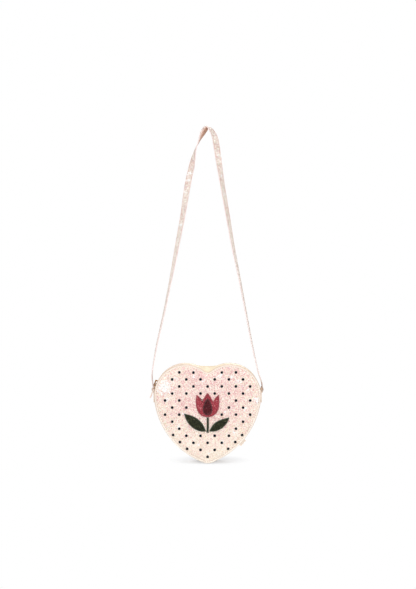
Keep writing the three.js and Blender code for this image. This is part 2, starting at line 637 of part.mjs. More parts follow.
// Route of the strap from the left rivet over the hook to the right rivet: sideways share of the
// rivets' reach, share of the drop, depth in mm, and the direction that the glitter side faces.
const STRAP_ROUTE = [
  [-1, 1, 0, -1, 0, 0], [-1, 0.986, 0, -1, 0, 0], [-1.012, 0.968, 0, -1, 0, 0],
  [-1.018, 0.945, 0, -1, 0, 0], [-0.978, 0.887, 0, -1, -0.08, 0], [-0.924, 0.826, 0, -1, -0.14, 0],
  [-0.793, 0.704, 0, -1, -0.24, 0], [-0.674, 0.582, 0, -1, -0.38, 0], [-0.563, 0.46, 0, -1, -0.8, 0],
  [-0.453, 0.338, 0, -1, -1.2, 0], [-0.36, 0.216, 0, -0.2, -1, 0], [-0.296, 0.155, 0, -0.4, -1, 0],
  [-0.23, 0.094, 1, -1, -0.3, 0], [-0.15, 0.049, 2, -1, 0.2, 0.1], [-0.07, 0.016, 2, -0.4, 0.9, 0.5],
  [0, 0, 0, 0, 0.1, 1], [0.06, 0.012, -2, 0.6, -0.6, 0.6], [0.124, 0.036, -2, 0.5, -1, 0.2],
  [0.158, 0.066, -1, 0.2, -1, 0], [0.2, 0.125, 0, 0.4, -1, 0], [0.266, 0.216, 0, 1, -1, 0],
  [0.367, 0.338, 0, 1, -0.75, 0], [0.468, 0.46, 0, 1, -0.5, 0], [0.587, 0.582, 0, 1, -0.28, 0],
  [0.698, 0.704, 0, 1, -0.2, 0], [0.81, 0.826, 0, 1, -0.15, 0], [0.873, 0.887, 0, 1, -0.08, 0],
  [0.925, 0.932, 0, 1, 0, 0], [0.964, 0.957, 0, 1, 0, 0], [0.99, 0.974, 0, 1, 0, 0],
  [1, 0.987, 0, 1, 0, 0], [1, 1, 0, 1, 0, 0],
];

function strapBand() {
  const middle = new THREE.CatmullRomCurve3(STRAP_ROUTE.map(([out, down, depth]) => {
    return new THREE.Vector3(out * STRAP_X, depth, STRAP / 2 - down * STRAP_DROP);
  }));
  const faces = new THREE.CatmullRomCurve3(STRAP_ROUTE.map((row) => {
    return new THREE.Vector3(...row.slice(3)).normalize();
  }));
  const section = (centre, along, facing, half) => {
    const across = new THREE.Vector3().crossVectors(facing, along).normalize();
    const out = new THREE.Vector3().crossVectors(along, across).normalize();
    return [[-1, -1], [1, -1], [1, 1], [-1, 1]].map(([w, t]) => {
      return centre.clone().addScaledVector(across, w * half).addScaledVector(out, (t * STRAP) / 2);
    });
  };
  const count = (STRAP_ROUTE.length - 1) * STRAP_STEPS;
  const rings = Array.from({ length: count + 1 }, (_, i) => {
    const t = i / count;
    return section(middle.getPoint(t), middle.getTangent(t), faces.getPoint(t), STRAP_WIDTH / 2);
  });
  const down = new THREE.Vector3(0, 0, -1);
  const roundEnd = (end, side) => STRAP_END_RINGS.map((share) => {
    const centre = end.clone().addScaledVector(down, (share * STRAP_WIDTH) / 2);
    const half = (Math.sqrt(1 - share ** 2) * STRAP_WIDTH) / 2;
    const along = side < 0 ? down.clone().negate() : down;
    return section(centre, along, new THREE.Vector3(side, 0, 0), half);
  });
  const left = roundEnd(middle.getPoint(0), -1).reverse();
  const right = roundEnd(middle.getPoint(1), 1);
  const skin = skinRings([...left, ...rings, ...right], (p) => new THREE.Vector2(p.y, p.x));
  return cut(skin, hingePin(RIVET_POST + GAP, 4 * STRAP_X).translate(0, 0, STRAP / 2 - STRAP_DROP));
}

add(object, "strap", strapBand(), glitter);

// Sewn decoration: a three-pointed flower, its front petal, a stem and two leaves.
const patchY = FRONT_Y - CROWN - GAP;
const STEM_FOOT = FLOWER_FOOT - STEM_GAP - STEM_LENGTH;
const patch = (shape, layer) => {
  const toY = patchY - layer * (PATCH + GAP);
  return plate(shape, toY - PATCH, toY).translate(0, 0, -PATCH_DROP);
};

// Points of the flower's figures are shares of half their width and of their height.
function sized(width, height, foot) {
  const shape = new THREE.Shape();
  const place = (pairs) => pairs.flatMap(([x, z]) => [(x * width) / 2, foot + z * height]);
  return {
    shape,
    from: (...pairs) => shape.moveTo(...place(pairs)),
    line: (...pairs) => shape.lineTo(...place(pairs)),
    bow: (...pairs) => shape.quadraticCurveTo(...place(pairs)),
    swell: (...pairs) => shape.bezierCurveTo(...place(pairs)),
  };
}

// A cup with three points.
function flowerShape() {
  const pen = sized(FLOWER_WIDTH, FLOWER_HEIGHT, FLOWER_FOOT);
  pen.from([0, 0]);
  pen.swell([0.76, -0.03], [1.24, 0.32], [1, 0.92]);
  pen.bow([0.65, 0.81], [0.5, 0.62]);
  pen.bow([0.29, 0.84], [0, 1]);
  pen.bow([-0.29, 0.84], [-0.5, 0.62]);
  pen.bow([-0.65, 0.81], [-1, 0.92]);
  pen.swell([-1.24, 0.32], [-0.76, -0.03], [0, 0]);
  return pen.shape;
}

// An almond with its point up.
function petalShape() {
  const pen = sized(PETAL_WIDTH, PETAL_HEIGHT, FLOWER_FOOT + PETAL_MARGIN);
  pen.from([0, 0]);
  pen.swell([1.33, 0.02], [1.33, 0.58], [0, 1]);
  pen.swell([-1.33, 0.58], [-1.33, 0.02], [0, 0]);
  return pen.shape;
}

// A slim bar, a little bent.
function stemShape() {
  const pen = sized(STEM_WIDTH, STEM_LENGTH, STEM_FOOT);
  pen.from([-1, 1]);
  pen.line([1, 1]);
  pen.bow([1.5, 0.52], [0.9, 0]);
  pen.line([-1.1, 0]);
  pen.bow([-0.5, 0.52], [-1, 1]);
  return pen.shape;
}

// A pointed leaf that leaves the stem at its foot and rises to one side.
function leafShape(side, reach, height) {
  const root = STEM_WIDTH / 2 + LEAF_MARGIN;
  const pen = sized(2 * side * reach, height, STEM_FOOT + LEAF_MARGIN);
  pen.from([root / reach, 0.05]);
  pen.swell([0.3, -0.07], [0.86, 0.18], [1, 1]);
  pen.swell([0.6, 0.9], [0.24, 0.72], [root / reach, 0.05]);
  return pen.shape;
}

add(bag, "flower", patch(flowerShape(), 0), red);
add(bag, "flower_petal", patch(petalShape(), 1), darkRed);
add(bag, "flower_stem", patch(stemShape(), 0), green);
add(bag, "leaf_left", patch(leafShape(-1, LEAF_REACH, LEAF_HEIGHT), 0), green);
const smallLeaf = [LEAF_REACH - LEAF_DIFFERENCE, LEAF_HEIGHT - 2 * LEAF_DIFFERENCE];
add(bag, "leaf_right", patch(leafShape(1, ...smallLeaf), 0), green);

// Bare folded tab caught in the seam at the lower right.
const sideTab = blockBetween(
  [SIDE_RADIUS + GAP, SIDE_FRONT_Y, -SIDE_TAB_LENGTH / 2],
  [SIDE_RADIUS + GAP + SIDE_TAB_REACH, SIDE_FRONT_Y + SIDE_TAB, SIDE_TAB_LENGTH / 2],
);
sideTab.rotateY(-radians(SIDE_TAB_ANGLE)).translate(sideCentre.x, 0, sideCentre.y);
add(bag, "side_tab", sideTab, cream);

export default object;
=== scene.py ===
"""Looks of a child's heart-shaped shoulder bag with a glitter front, hung by its flat strap.

Shapes are worked out in millimetres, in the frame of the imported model, and put into meshes in metres.
"""
import json
import math

import bmesh
import bpy
import numpy as np
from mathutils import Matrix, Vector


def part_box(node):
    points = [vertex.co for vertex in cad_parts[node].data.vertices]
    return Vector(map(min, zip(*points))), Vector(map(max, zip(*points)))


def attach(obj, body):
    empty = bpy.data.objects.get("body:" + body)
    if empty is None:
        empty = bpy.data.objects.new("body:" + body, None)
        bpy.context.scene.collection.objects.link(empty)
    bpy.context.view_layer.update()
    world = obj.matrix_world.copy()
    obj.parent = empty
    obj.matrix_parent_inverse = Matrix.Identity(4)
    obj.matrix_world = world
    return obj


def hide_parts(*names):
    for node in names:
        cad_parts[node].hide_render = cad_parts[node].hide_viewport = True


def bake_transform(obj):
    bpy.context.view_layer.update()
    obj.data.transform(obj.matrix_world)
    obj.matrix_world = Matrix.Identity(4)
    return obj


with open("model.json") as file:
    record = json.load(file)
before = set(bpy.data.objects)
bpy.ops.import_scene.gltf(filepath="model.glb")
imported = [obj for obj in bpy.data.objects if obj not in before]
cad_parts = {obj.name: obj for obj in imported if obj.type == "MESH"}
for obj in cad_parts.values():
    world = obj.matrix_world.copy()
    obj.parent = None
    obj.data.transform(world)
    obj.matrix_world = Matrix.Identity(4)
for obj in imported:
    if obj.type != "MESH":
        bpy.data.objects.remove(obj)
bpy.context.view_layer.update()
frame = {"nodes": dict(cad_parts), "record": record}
scene = bpy.context.scene
MM = 0.001
FRONTWARD = np.array([0.0, -1.0, 0.0])

# Camera, level with the middle of the picture and square to the front of the bag.
CAMERA_DISTANCE = 2.0
CAMERA_SIDE = 0.0006
CAMERA_HEIGHT = -0.260
PICTURE_HEIGHT = 0.915
SENSOR = 36
camera = bpy.data.objects.new("camera", bpy.data.cameras.new("camera"))
scene.collection.objects.link(camera)
camera.location = (CAMERA_SIDE, -CAMERA_DISTANCE, CAMERA_HEIGHT)
camera.rotation_euler = (math.pi / 2, 0, 0)
camera.data.sensor_width = SENSOR
camera.data.lens = SENSOR * CAMERA_DISTANCE / PICTURE_HEIGHT
scene.camera = camera

# Heart outline, in millimetres. Heights count from the lobes' centres.
LOBE_RADIUS = 47.8
LOBE_SPREAD = 34.2
DIP_RADIUS = 7.5
SIDE_RADIUS = 117
TIP_RADIUS = 16
TIP_DROP = 103.3
ZIP_DIP_RADIUS = 110
WIDEST = LOBE_SPREAD + LOBE_RADIUS

# Cloth layers.
GAP = 0.3
COVER = 1.4
LINING = 0.6
SIDE_CLOTH = 1.2
INNER_INSET = SIDE_CLOTH + GAP
TAPE = 0.7

# Zip: angles up from a lobe's outermost point, and half widths. The slit between the tapes is drawn narrower
# than the solids', and still clears the slider's web.
ZIP_END_ANGLE = 2
MOUTH_END_ANGLE = 30
STOP_ANGLE = 7
STOP_LENGTH = 2
SLOT_HALF = 5.6
TAPE_HALF = 7.4
SLIT_HALF = 0.45


def corners(node):
    """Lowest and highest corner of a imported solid, in millimetres."""
    return np.array(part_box(node)) / MM


SIDE_FRONT, SIDE_BACK = corners("gusset")[:, 1]
TIP_Z = corners("gusset")[0, 2]
LOBE_Z = TIP_Z + TIP_DROP
FRONT_EDGE = SIDE_FRONT - GAP - COVER
BACK_FACE = corners("back_cover")[1, 1]
ZIP_Y = corners("zip_slider")[:, 1].mean()
FOLD_Z = corners("front_cover_lower")[1, 2]


def linear(code):
    """An sRGB hex colour as linear red, green, blue and a full alpha."""
    value = np.array([int(code[i:i + 2], 16) for i in (1, 3, 5)]) / 255
    value = np.where(value <= 0.04045, value / 12.92, ((value + 0.055) / 1.055) ** 2.4)
    return (*value.tolist(), 1.0)


def add(tree, kind, settings=None, to=None, out=0, **links):
    """Adds a shader node with its values, sockets and a ramp's (place, hex) stops, and links it.

    An input comes from a node's first output, a (node, output) pair or a texture coordinate by its name.
    The new node's first output, or another, goes to a (node, input) pair if one is given."""
    node = tree.nodes.new(kind)
    for key, value in (settings or {}).items():
        if key == "stops":
            while len(node.color_ramp.elements) < len(value):
                node.color_ramp.elements.new(1)
            for stop, (place, code) in zip(node.color_ramp.elements, value):
                stop.position, stop.color = place, linear(code)
        elif isinstance(key, int) or key in node.inputs:
            node.inputs[key].default_value = value
        else:
            setattr(node, key, value)
    for key, link in links.items():
        if isinstance(link, str):
            link = (tree.nodes.get("place") or add(tree, "ShaderNodeTexCoord", {"name": "place"}), link)
        source, output = link if isinstance(link, tuple) else (link, 0)
        socket = int(key[1:]) if key[1:].isdigit() else key
        tree.links.new(source.outputs[output], node.inputs[socket])
    if to:
        tree.links.new(node.outputs[out], to[0].inputs[to[1]])
    return node


def finish(name, settings):
    """A new material with a principled shader and these sockets set."""
    made = bpy.data.materials.new(name)
    made.use_nodes = True
    shader = made.node_tree.nodes["Principled BSDF"]
    for key, value in settings.items():
        shader.inputs[key].default_value = value
    return made, made.node_tree, shader


def per_metre(millimetres):
    """Texture scale for a pattern of this size."""
    return 1 / (millimetres * MM)


def by_height(tree, heights, most=1.0):
    """A node that grows along Z from 0 at one height to the most at another."""
    split = add(tree, "ShaderNodeSeparateXYZ", Vector="Object")
    start, end = (height * MM for height in heights)
    return add(
        tree, "ShaderNodeMapRange", {"From Min": start, "From Max": end, "To Max": most}, Value=(split, "Z"))


# Heights between which finishes turn paler downwards: the panels' glitter, the strap's, and the binding.
# On the strap and the binding the paler colour is painted light.
PANEL_PALE = (LOBE_Z - 48, LOBE_Z - 95)
STRAP_PAINTED_LIGHT = (-60, -230)
BINDING_PAINTED_LIGHT = (LOBE_Z - 10, LOBE_Z - 80)
# Width of a flake in the coat, drawn coarse enough to show.
FLAKE_CELL = 1.1


def glitter_coat(name, blotch, heights, stops):
    """A coated cloth strewn with fine flakes: small cells, whose shade drifts in blotches of one size.

    The coat turns paler from the first height down to the second."""
    made, tree, shader = finish(name, {"Roughness": 0.45, "Coat Weight": 0.15})
    cells = add(tree, "ShaderNodeTexVoronoi", {"Scale": per_metre(FLAKE_CELL)}, Vector="Object")
    split = add(tree, "ShaderNodeSeparateColor", Color=(cells, "Color"))
    drift = add(tree, "ShaderNodeTexNoise", {"Scale": per_metre(blotch), "Detail": 2}, Vector="Object")
    shade = add(tree, "ShaderNodeMath", {"operation": "MULTIPLY_ADD", 1: 0.72}, _0=split, _2=drift)
    paled_downward = add(tree, "ShaderNodeMath", {"operation": "ADD"}, _0=shade, _1=by_height(tree, heights, 0.3))
    add(tree, "ShaderNodeValToRGB", {"stops": stops}, (shader, "Base Color"), Fac=paled_downward)
    add(tree, "ShaderNodeBump", {"Strength": 0.5, "Distance": 0.0003}, (shader, "Normal"),
        Height=(split, "Green"))
    return made


# Glitter cloth of the panels, a mottle of pinks and creams, and of the strap, greyer.
glitter_cloth = glitter_coat(
    "glitter_cloth", 32, PANEL_PALE,
    [(0.35, "#e2afae"), (0.6, "#efc5c1"), (0.8, "#f5dbd1"), (1.0, "#fcf0e2")])
# The strap's coat turns paler lower down: painted light.
strap_cloth = glitter_coat(
    "strap_glitter_cloth", 7, STRAP_PAINTED_LIGHT,
    [(0.35, "#bc9a92"), (0.6, "#d1b2a7"), (0.8, "#e2d0c4"), (1.0, "#f3ebe2")])


def flake_film(name, settings):
    """Cut polyester film. Each flake takes its own tint from the mesh."""
    made, tree, shader = finish(name, settings)
    add(tree, "ShaderNodeAttribute", {"attribute_name": "tint"}, (shader, "Base Color"))
    return made


# Flakes with a pearl coat and a sharp glint, and duller ones for the dark patches.
pearl_film = flake_film(
    "pearl_polyester_film", {"Roughness": 0.2, "Metallic": 0.1, "Coat Weight": 0.5, "Coat Roughness": 0.1})
dull_film = flake_film("dull_polyester_film", {"Roughness": 0.45, "Specular IOR Level": 0.15})

# Leatherette: cream PVC on cloth, embossed with a fine pebble grain, a little darker in its hollows.
# On top its colour carries painted shade: yellower between the lobes, where shade and warm bounced light
# fall, and browner at the right.
TOP_PAINTED_SHADE = (LOBE_Z - 5, LOBE_Z + 20)
leatherette, tree, shader = finish("cream_leatherette", {"Roughness": 0.5})
grain = add(tree, "ShaderNodeTexVoronoi", {"Scale": per_metre(0.9)}, Vector="Object")
wear = add(tree, "ShaderNodeTexNoise", {"Scale": per_metre(14), "Detail": 3}, Vector="Object")
mixed = add(tree, "ShaderNodeMath", {"operation": "MULTIPLY_ADD", 1: 0.35}, _0=grain, _2=wear)
tone = add(tree, "ShaderNodeValToRGB", {"stops": [(0.3, "#fbefe2"), (0.9, "#f4e3d2")]}, Fac=mixed)
across = add(tree, "ShaderNodeSeparateXYZ", Vector="Object")
side = add(tree, "ShaderNodeMapRange", {"From Min": -WIDEST * MM, "From Max": WIDEST * MM}, Value=across)
# Painted shade and light across the top, by X.
tint = add(tree, "ShaderNodeValToRGB", {"stops": [
    (0.22, "#fbf6f6"), (0.42, "#fffff2"), (0.62, "#fffff2"), (0.8, "#fffdf4"), (1.0, "#faecdf")]}, Fac=side)
add(tree, "ShaderNodeMix", {"data_type": "RGBA", "blend_type": "MULTIPLY"}, (shader, "Base Color"), 2,
    _0=by_height(tree, TOP_PAINTED_SHADE), _6=tone, _7=tint)
add(tree, "ShaderNodeBump", {"Strength": 0.35, "Distance": 0.0002, "invert": True}, (shader, "Normal"),
    Height=grain)

# Edge binding: the same coated cloth without flakes, peach, with a fine grain. The UV map counts
# millimetres from the rim, where the cloth is painted browner as shade.
PAINTED_RIM_SHADE = 2.2
binding_cloth, tree, shader = finish("peach_coated_cloth", {"Roughness": 0.5})
grain = add(tree, "ShaderNodeTexNoise", {"Scale": per_metre(1.2), "Detail": 3}, Vector="Object")
inset = add(tree, "ShaderNodeSeparateXYZ", Vector=add(tree, "ShaderNodeUVMap"))
# Painted shade: browner over the first millimetres from the rim.
inward = add(tree, "ShaderNodeMapRange", {"From Max": PAINTED_RIM_SHADE, "To Max": 0.75}, Value=(inset, "Y"))
mixed = add(tree, "ShaderNodeMath", {"operation": "MULTIPLY_ADD", 1: 0.25}, _0=grain, _2=inward)
# Lower down the binding is painted paler: painted light in place of light bounced up from the floor.
paler = add(tree, "ShaderNodeMath", {"operation": "ADD"}, _0=mixed, _1=by_height(tree, BINDING_PAINTED_LIGHT, 0.55))
add(tree, "ShaderNodeValToRGB", {"stops": [
    (0.1, "#dcc1ab"), (0.45, "#ead6c6"), (0.75, "#f3e6da"), (1.0, "#fff5e8")]},
    (shader, "Base Color"), Fac=paler)
add(tree, "ShaderNodeBump", {"Strength": 0.2, "Distance": 0.0002}, (shader, "Normal"), Height=grain)

# Inner side of the strap: brown napped cloth, uneven from fibre to fibre. The UV map runs from 0 beside
# its wide hem, where the cloth is pinker, to 1 at the other edge, and on past 1 where there is no hem.
HEM_BLUR = 0.5
brown_cloth, tree, shader = finish("brown_napped_cloth", {"Roughness": 0.95, "Sheen Weight": 0.4})
fibres = add(tree, "ShaderNodeTexVoronoi", {"Scale": per_metre(0.7)}, Vector="Object")
split = add(tree, "ShaderNodeSeparateColor", Color=(fibres, "Color"))
hem = add(tree, "ShaderNodeSeparateXYZ", Vector=add(tree, "ShaderNodeUVMap"))
pinker = add(tree, "ShaderNodeMapRange", {"From Max": HEM_BLUR, "To Min": 0.75, "To Max": 0.0}, Value=hem)
mixed = add(tree, "ShaderNodeMath", {"operation": "MULTIPLY_ADD", 1: 0.35}, _0=split, _2=pinker)
add(tree, "ShaderNodeValToRGB", {"stops": [(0, "#a9806a"), (0.35, "#c49c86"), (1, "#f0cdc1")]},
    (shader, "Base Color"), Fac=mixed)
add(tree, "ShaderNodeBump", {"Strength": 0.4, "Distance": 0.0002}, (shader, "Normal"),
    Height=(split, "Green"))

# Length of one wave of a wave texture at a scale of 1.
WAVE = 0.314


def woven(name, light, dark, thread):
    """Plain weave on the piece's UV map, which counts millimetres: two crossing waves of thread."""
    made, tree, shader = finish(name, {"Roughness": 0.85, "Sheen Weight": 0.3})
    cloth = add(tree, "ShaderNodeUVMap")
    warp, weft = (
        add(tree, "ShaderNodeTexWave", {"Scale": WAVE / thread, "bands_direction": way}, Vector=cloth)
        for way in "XY")
    cross = add(tree, "ShaderNodeMath", {"operation": "MULTIPLY"}, _0=(warp, "Fac"), _1=(weft, "Fac"))
    add(tree, "ShaderNodeValToRGB", {"stops": [(0.0, dark), (0.6, light)]}, (shader, "Base Color"), Fac=cross)
    add(tree, "ShaderNodeBump", {"Strength": 0.5, "Distance": 0.0002}, (shader, "Normal"), Height=cross)
    return made


# Polyester lining and the zip's twill tape; threads are drawn 0.7 and 0.8 mm wide, so that they show.
lining_cloth = woven("polyester_lining", "#f1e4d6", "#dcc9b6", 0.7)
tape_cloth = woven("polyester_zip_tape", "#f9efdc", "#e8d9bb", 0.8)


def speckled(name, settings, size, stops):
    """A finish whose colour and height change from cell to cell of one size in millimetres."""
    made, tree, shader = finish(name, settings)
    cells = add(tree, "ShaderNodeTexVoronoi", {"Scale": per_metre(size)}, Vector="Object")
    split = add(tree, "ShaderNodeSeparateColor", Color=(cells, "Color"))
    add(tree, "ShaderNodeValToRGB", {"stops": stops}, (shader, "Base Color"), Fac=split)
    add(tree, "ShaderNodeBump", {"Strength": 0.4, "Distance": 0.0002}, (shader, "Normal"),
        Height=(split, "Green"))
    return made


# Coated cloth of the flower, with fine glitter in the coat: small cells lighter and darker than it.
red_patch, dark_red_patch, green_patch = (
    speckled(colour + "_coated_cloth", {"Roughness": 0.5, "Specular IOR Level": 0.15}, 0.9, stops)
    for colour, stops in (
        ("red", [(0, "#7d2430"), (0.6, "#a83a46"), (1, "#c96a70")]),
        ("dark_red", [(0, "#320a0f"), (0.7, "#4c131a"), (1, "#7a2c33")]),
        ("dark_green", [(0, "#13140a"), (0.7, "#202313"), (1, "#43472c")])))
# Pressed fibre board, flecked.
fibre_board = speckled("fibre_board", {"Roughness": 0.9}, 1.5, [(0, "#a8927a"), (1, "#c4b29a")])


def clouded(name, settings, size, stops, bump=0):
    """A finish whose colour, and height if it has a bump, drifts in soft clouds of a size in millimetres."""
    made, tree, shader = finish(name, settings)
    cloud = add(tree, "ShaderNodeTexNoise", {"Scale": per_metre(size)}, Vector="Object")
    add(tree, "ShaderNodeValToRGB", {"stops": stops}, (shader, "Base Color"), Fac=cloud)
    if bump:
        add(tree, "ShaderNodeBump", {"Strength": bump, "Distance": 0.0003}, (shader, "Normal"), Height=cloud)
    return made


# Edge paint of the strap: pale pink lacquer, a little uneven.
edge_paint = clouded("pink_edge_paint", {"Roughness": 0.4}, 5, [(0.3, "#f4dedd"), (0.7, "#fbeeec")])
# Dots: glossy black film pressed on the cloth, smooth, with a slight ripple.
black_film = clouded(
    "black_gloss_film", {"Roughness": 0.22, "Specular IOR Level": 0.2}, 1.6,
    [(0.3, "#090b13"), (0.8, "#161a28")], 0.15)
# Nylon coil of the zip: drawn filament, slightly clear and smooth, shaded a little along its length.
nylon = clouded(
    "nylon_filament", {"Roughness": 0.35, "Subsurface Weight": 0.1}, 4, [(0.3, "#efe3c8"), (0.8, "#dccb9f")])
# Spun polyester thread: soft sheen, with plies drawn 0.35 mm wide so that they show.
pink_thread, cream_thread, red_thread, dark_red_thread, green_thread = (
    clouded(colour + "_polyester_thread", {"Roughness": 0.7, "Sheen Weight": 0.3}, 0.7,
            [(0.3, dark), (0.7, light)])
    for colour, light, dark in (
        ("pink", "#d3a99c", "#b78879"), ("cream", "#f7ead0", "#dcc79c"), ("red", "#b9505a", "#7a2530"),
        ("dark_red", "#6d2630", "#3f1218"), ("green", "#3a4a30", "#1c2518")))

# Zinc casting plated a gold colour and tumbled: warm metal up to its edges, duller in patches.
gold_metal, tree, shader = finish("gold_plated_zinc", {"Metallic": 1.0, "Specular Tint": linear("#d9a55c")})
cloud = add(tree, "ShaderNodeTexNoise", {"Scale": per_metre(2.5), "Detail": 4}, Vector="Object")
add(tree, "ShaderNodeValToRGB", {"stops": [(0.3, "#7a4d10"), (0.75, "#a87322")]},
    (shader, "Base Color"), Fac=cloud)
add(tree, "ShaderNodeMapRange", {"To Min": 0.2, "To Max": 0.42}, (shader, "Roughness"), Value=cloud)


def quads(index):
    """Faces of four corners between neighbouring rows and columns of a grid of point numbers."""
    return np.stack([index[:-1, :-1], index[:-1, 1:], index[1:, 1:], index[1:, :-1]], -1).reshape(-1, 4)


def outward(points, faces):
    """The faces as they are, or all turned round where the volume inside them comes out negative."""
    volume = sum(
        np.sum(points[f[:, 0]] * np.cross(points[f[:, i]], points[f[:, i + 1]]))
        for f in faces for i in range(1, f.shape[1] - 1))
    return faces if volume > 0 else [f[:, ::-1] for f in faces]


def loft(rings):
    """A closed skin: each ring of points joined to the next, and the two end rings to their middles."""
    rings = np.asarray(rings)
    count, around = rings.shape[:2]
    points = np.concatenate([rings.reshape(-1, 3), rings[[0, -1]].mean(1)])
    index = np.arange(count * around).reshape(count, around)
    index = np.concatenate([index, index[:, :1]], 1)
    pole = np.full(around, count * around)
    caps = [
        np.stack([pole, index[0, 1:], index[0, :-1]], -1),
        np.stack([pole + 1, index[-1, :-1], index[-1, 1:]], -1),
    ]
    return points, outward(points, [quads(index), *caps])


def shell(outer, inner):
    """A closed cloth: an outer and an inner grid of points, joined along all four edges."""
    rows, columns = outer.shape[:2]
    top = np.arange(rows * columns).reshape(rows, columns)
    low = top + rows * columns
    points = np.concatenate([outer.reshape(-1, 3), inner.reshape(-1, 3)])
    edges = [(top[0], low[0]), (low[-1], top[-1]), (low[:, 0], top[:, 0]), (top[:, -1], low[:, -1])]
    rims = [np.stack([a[1:], a[:-1], b[:-1], b[1:]], -1) for a, b in edges]
    return points, outward(points, [quads(top), quads(low)[:, ::-1], *rims])


def together(*parts):
    """Several skins as one list of points and faces."""
    starts = np.cumsum([0] + [len(points) for points, _ in parts])
    faces = [f + start for (_, group), start in zip(parts, starts) for f in group]
    return np.concatenate([points for points, _ in parts]), faces


def piece(name, skin, material, uv=None, sharp=40):
    """A new object from a skin in millimetres, smooth where its faces meet at less than an angle.

    A UV map of one side of a cloth serves both of its sides."""
    points, faces = skin
    mesh = bpy.data.meshes.new(name)
    loops = np.concatenate([f.ravel() for f in faces]).astype(np.int32)
    sizes = np.concatenate([np.full(len(f), f.shape[1]) for f in faces])
    mesh.vertices.add(len(points))
    mesh.vertices.foreach_set("co", (points * MM).astype(np.float32).ravel())
    mesh.loops.add(len(loops))
    mesh.loops.foreach_set("vertex_index", loops)
    mesh.polygons.add(len(sizes))
    mesh.polygons.foreach_set("loop_start", (np.cumsum(sizes) - sizes).astype(np.int32))
    mesh.update(calc_edges=True)
    mesh.polygons.foreach_set("use_smooth", np.ones(len(sizes), bool))
    mesh.set_sharp_from_angle(angle=math.radians(sharp))
    if uv is not None:
        uv = np.tile(uv, (len(points) // len(uv), 1))
        layer = mesh.uv_layers.new(name="cloth")
        layer.uv.foreach_set("vector", uv[loops].astype(np.float32).ravel())
    mesh.materials.append(material)
    made = bpy.data.objects.new(name, mesh)
    scene.collection.objects.link(made)
    return made


def unit(vectors):
    """The vectors at length one."""
    return vectors / np.linalg.norm(vectors, axis=-1, keepdims=True)


def smooth_step(value):
    """Eases from 0 to 1 as the value goes from 0 to 1."""
    value = np.clip(value, 0, 1)
    return value * value * (3 - 2 * value)


def fade(z, heights):
    """Eases from 0 at one height to 1 at a lower one."""
    return smooth_step((heights[0] - z) / (heights[0] - heights[1]))


def ring(count, first, second):
    """Offsets evenly round an ellipse: cosines times one half axis and sines times the other."""
    angle = np.linspace(0, 2 * np.pi, count, endpoint=False)[:, None]
    return np.cos(angle) * np.asarray(first)[..., None, :] + np.sin(angle) * np.asarray(second)[..., None, :]


def repeated(faces, size, count):
    """Faces of one small shape of so many points, for each of its copies in turn."""
    base = size * np.arange(count)[:, None, None]
    return [(f + base).reshape(-1, f.shape[1]) for f in faces]


def upright(flat, y):
    """Points from their X and Z at their depths, each an array or one number for all."""
    return np.stack(np.broadcast_arrays(flat[0], y, flat[1]), -1)


def map_of(first, second):
    """UV map of a grid from two arrays of its shape."""
    return np.stack([first.ravel(), second.ravel()], -1)


def way_along(path):
    """Distance along a path to each of its points."""
    return np.append(0, np.cumsum(np.linalg.norm(np.diff(path, axis=0), axis=1)))


def between(where, way, values):
    """Values at some distances along a path, on straight lines between those of its points."""
    return np.stack([np.interp(where, way, column) for column in values.T], -1)


# Arcs of the heart's right half from the dip to the tip. The dip's arc bends the other way.
def dip_arc(radius):
    """Height of the centre of an arc that touches both lobes from above, and where it leaves them."""
    rise = math.sqrt((LOBE_RADIUS + radius) ** 2 - LOBE_SPREAD ** 2)
    return rise, math.pi - math.atan2(rise, LOBE_SPREAD)


PANEL_DIP, LOBE_START = dip_arc(DIP_RADIUS)
ZIP_DIP, ZIP_START = dip_arc(ZIP_DIP_RADIUS)
lobe_centre = np.array([LOBE_SPREAD, 0.0])
tip_centre = np.array([0.0, TIP_RADIUS - TIP_DROP])


def side_arc():
    """Centre of the side's arc, which touches the lobe and the tip from outside, by two radii."""
    to_lobe, to_tip = SIDE_RADIUS - LOBE_RADIUS, SIDE_RADIUS - TIP_RADIUS
    apart = math.dist(lobe_centre, tip_centre)
    along = (to_lobe ** 2 - to_tip ** 2 + apart ** 2) / (2 * apart)
    across = math.sqrt(to_lobe ** 2 - along ** 2)
    direction = (tip_centre - lobe_centre) / apart
    return lobe_centre + direction * along + np.array([direction[1], -direction[0]]) * across


side_centre = side_arc()
LOBE_TO_SIDE = math.atan2(*(lobe_centre - side_centre)[::-1])
SIDE_TO_TIP = math.atan2(*(tip_centre - side_centre)[::-1])
ARC_CENTRE = np.array([[0, PANEL_DIP], lobe_centre, side_centre, tip_centre])
ARC_RADIUS = np.array([DIP_RADIUS, LOBE_RADIUS, SIDE_RADIUS, TIP_RADIUS])
ARC_FROM = np.array([-math.pi / 2, LOBE_START, LOBE_TO_SIDE, SIDE_TO_TIP])
ARC_TO = np.array([LOBE_START - math.pi, LOBE_TO_SIDE, SIDE_TO_TIP, -math.pi / 2])
ARC_TURN = np.array([-1, 1, 1, 1])
ARC_LENGTH = np.abs(ARC_TO - ARC_FROM) * ARC_RADIUS
ARC_END = np.cumsum(ARC_LENGTH)
HALF_WAY = ARC_END[-1]
LOBE_WAY = ARC_END[0] + LOBE_RADIUS * LOBE_START


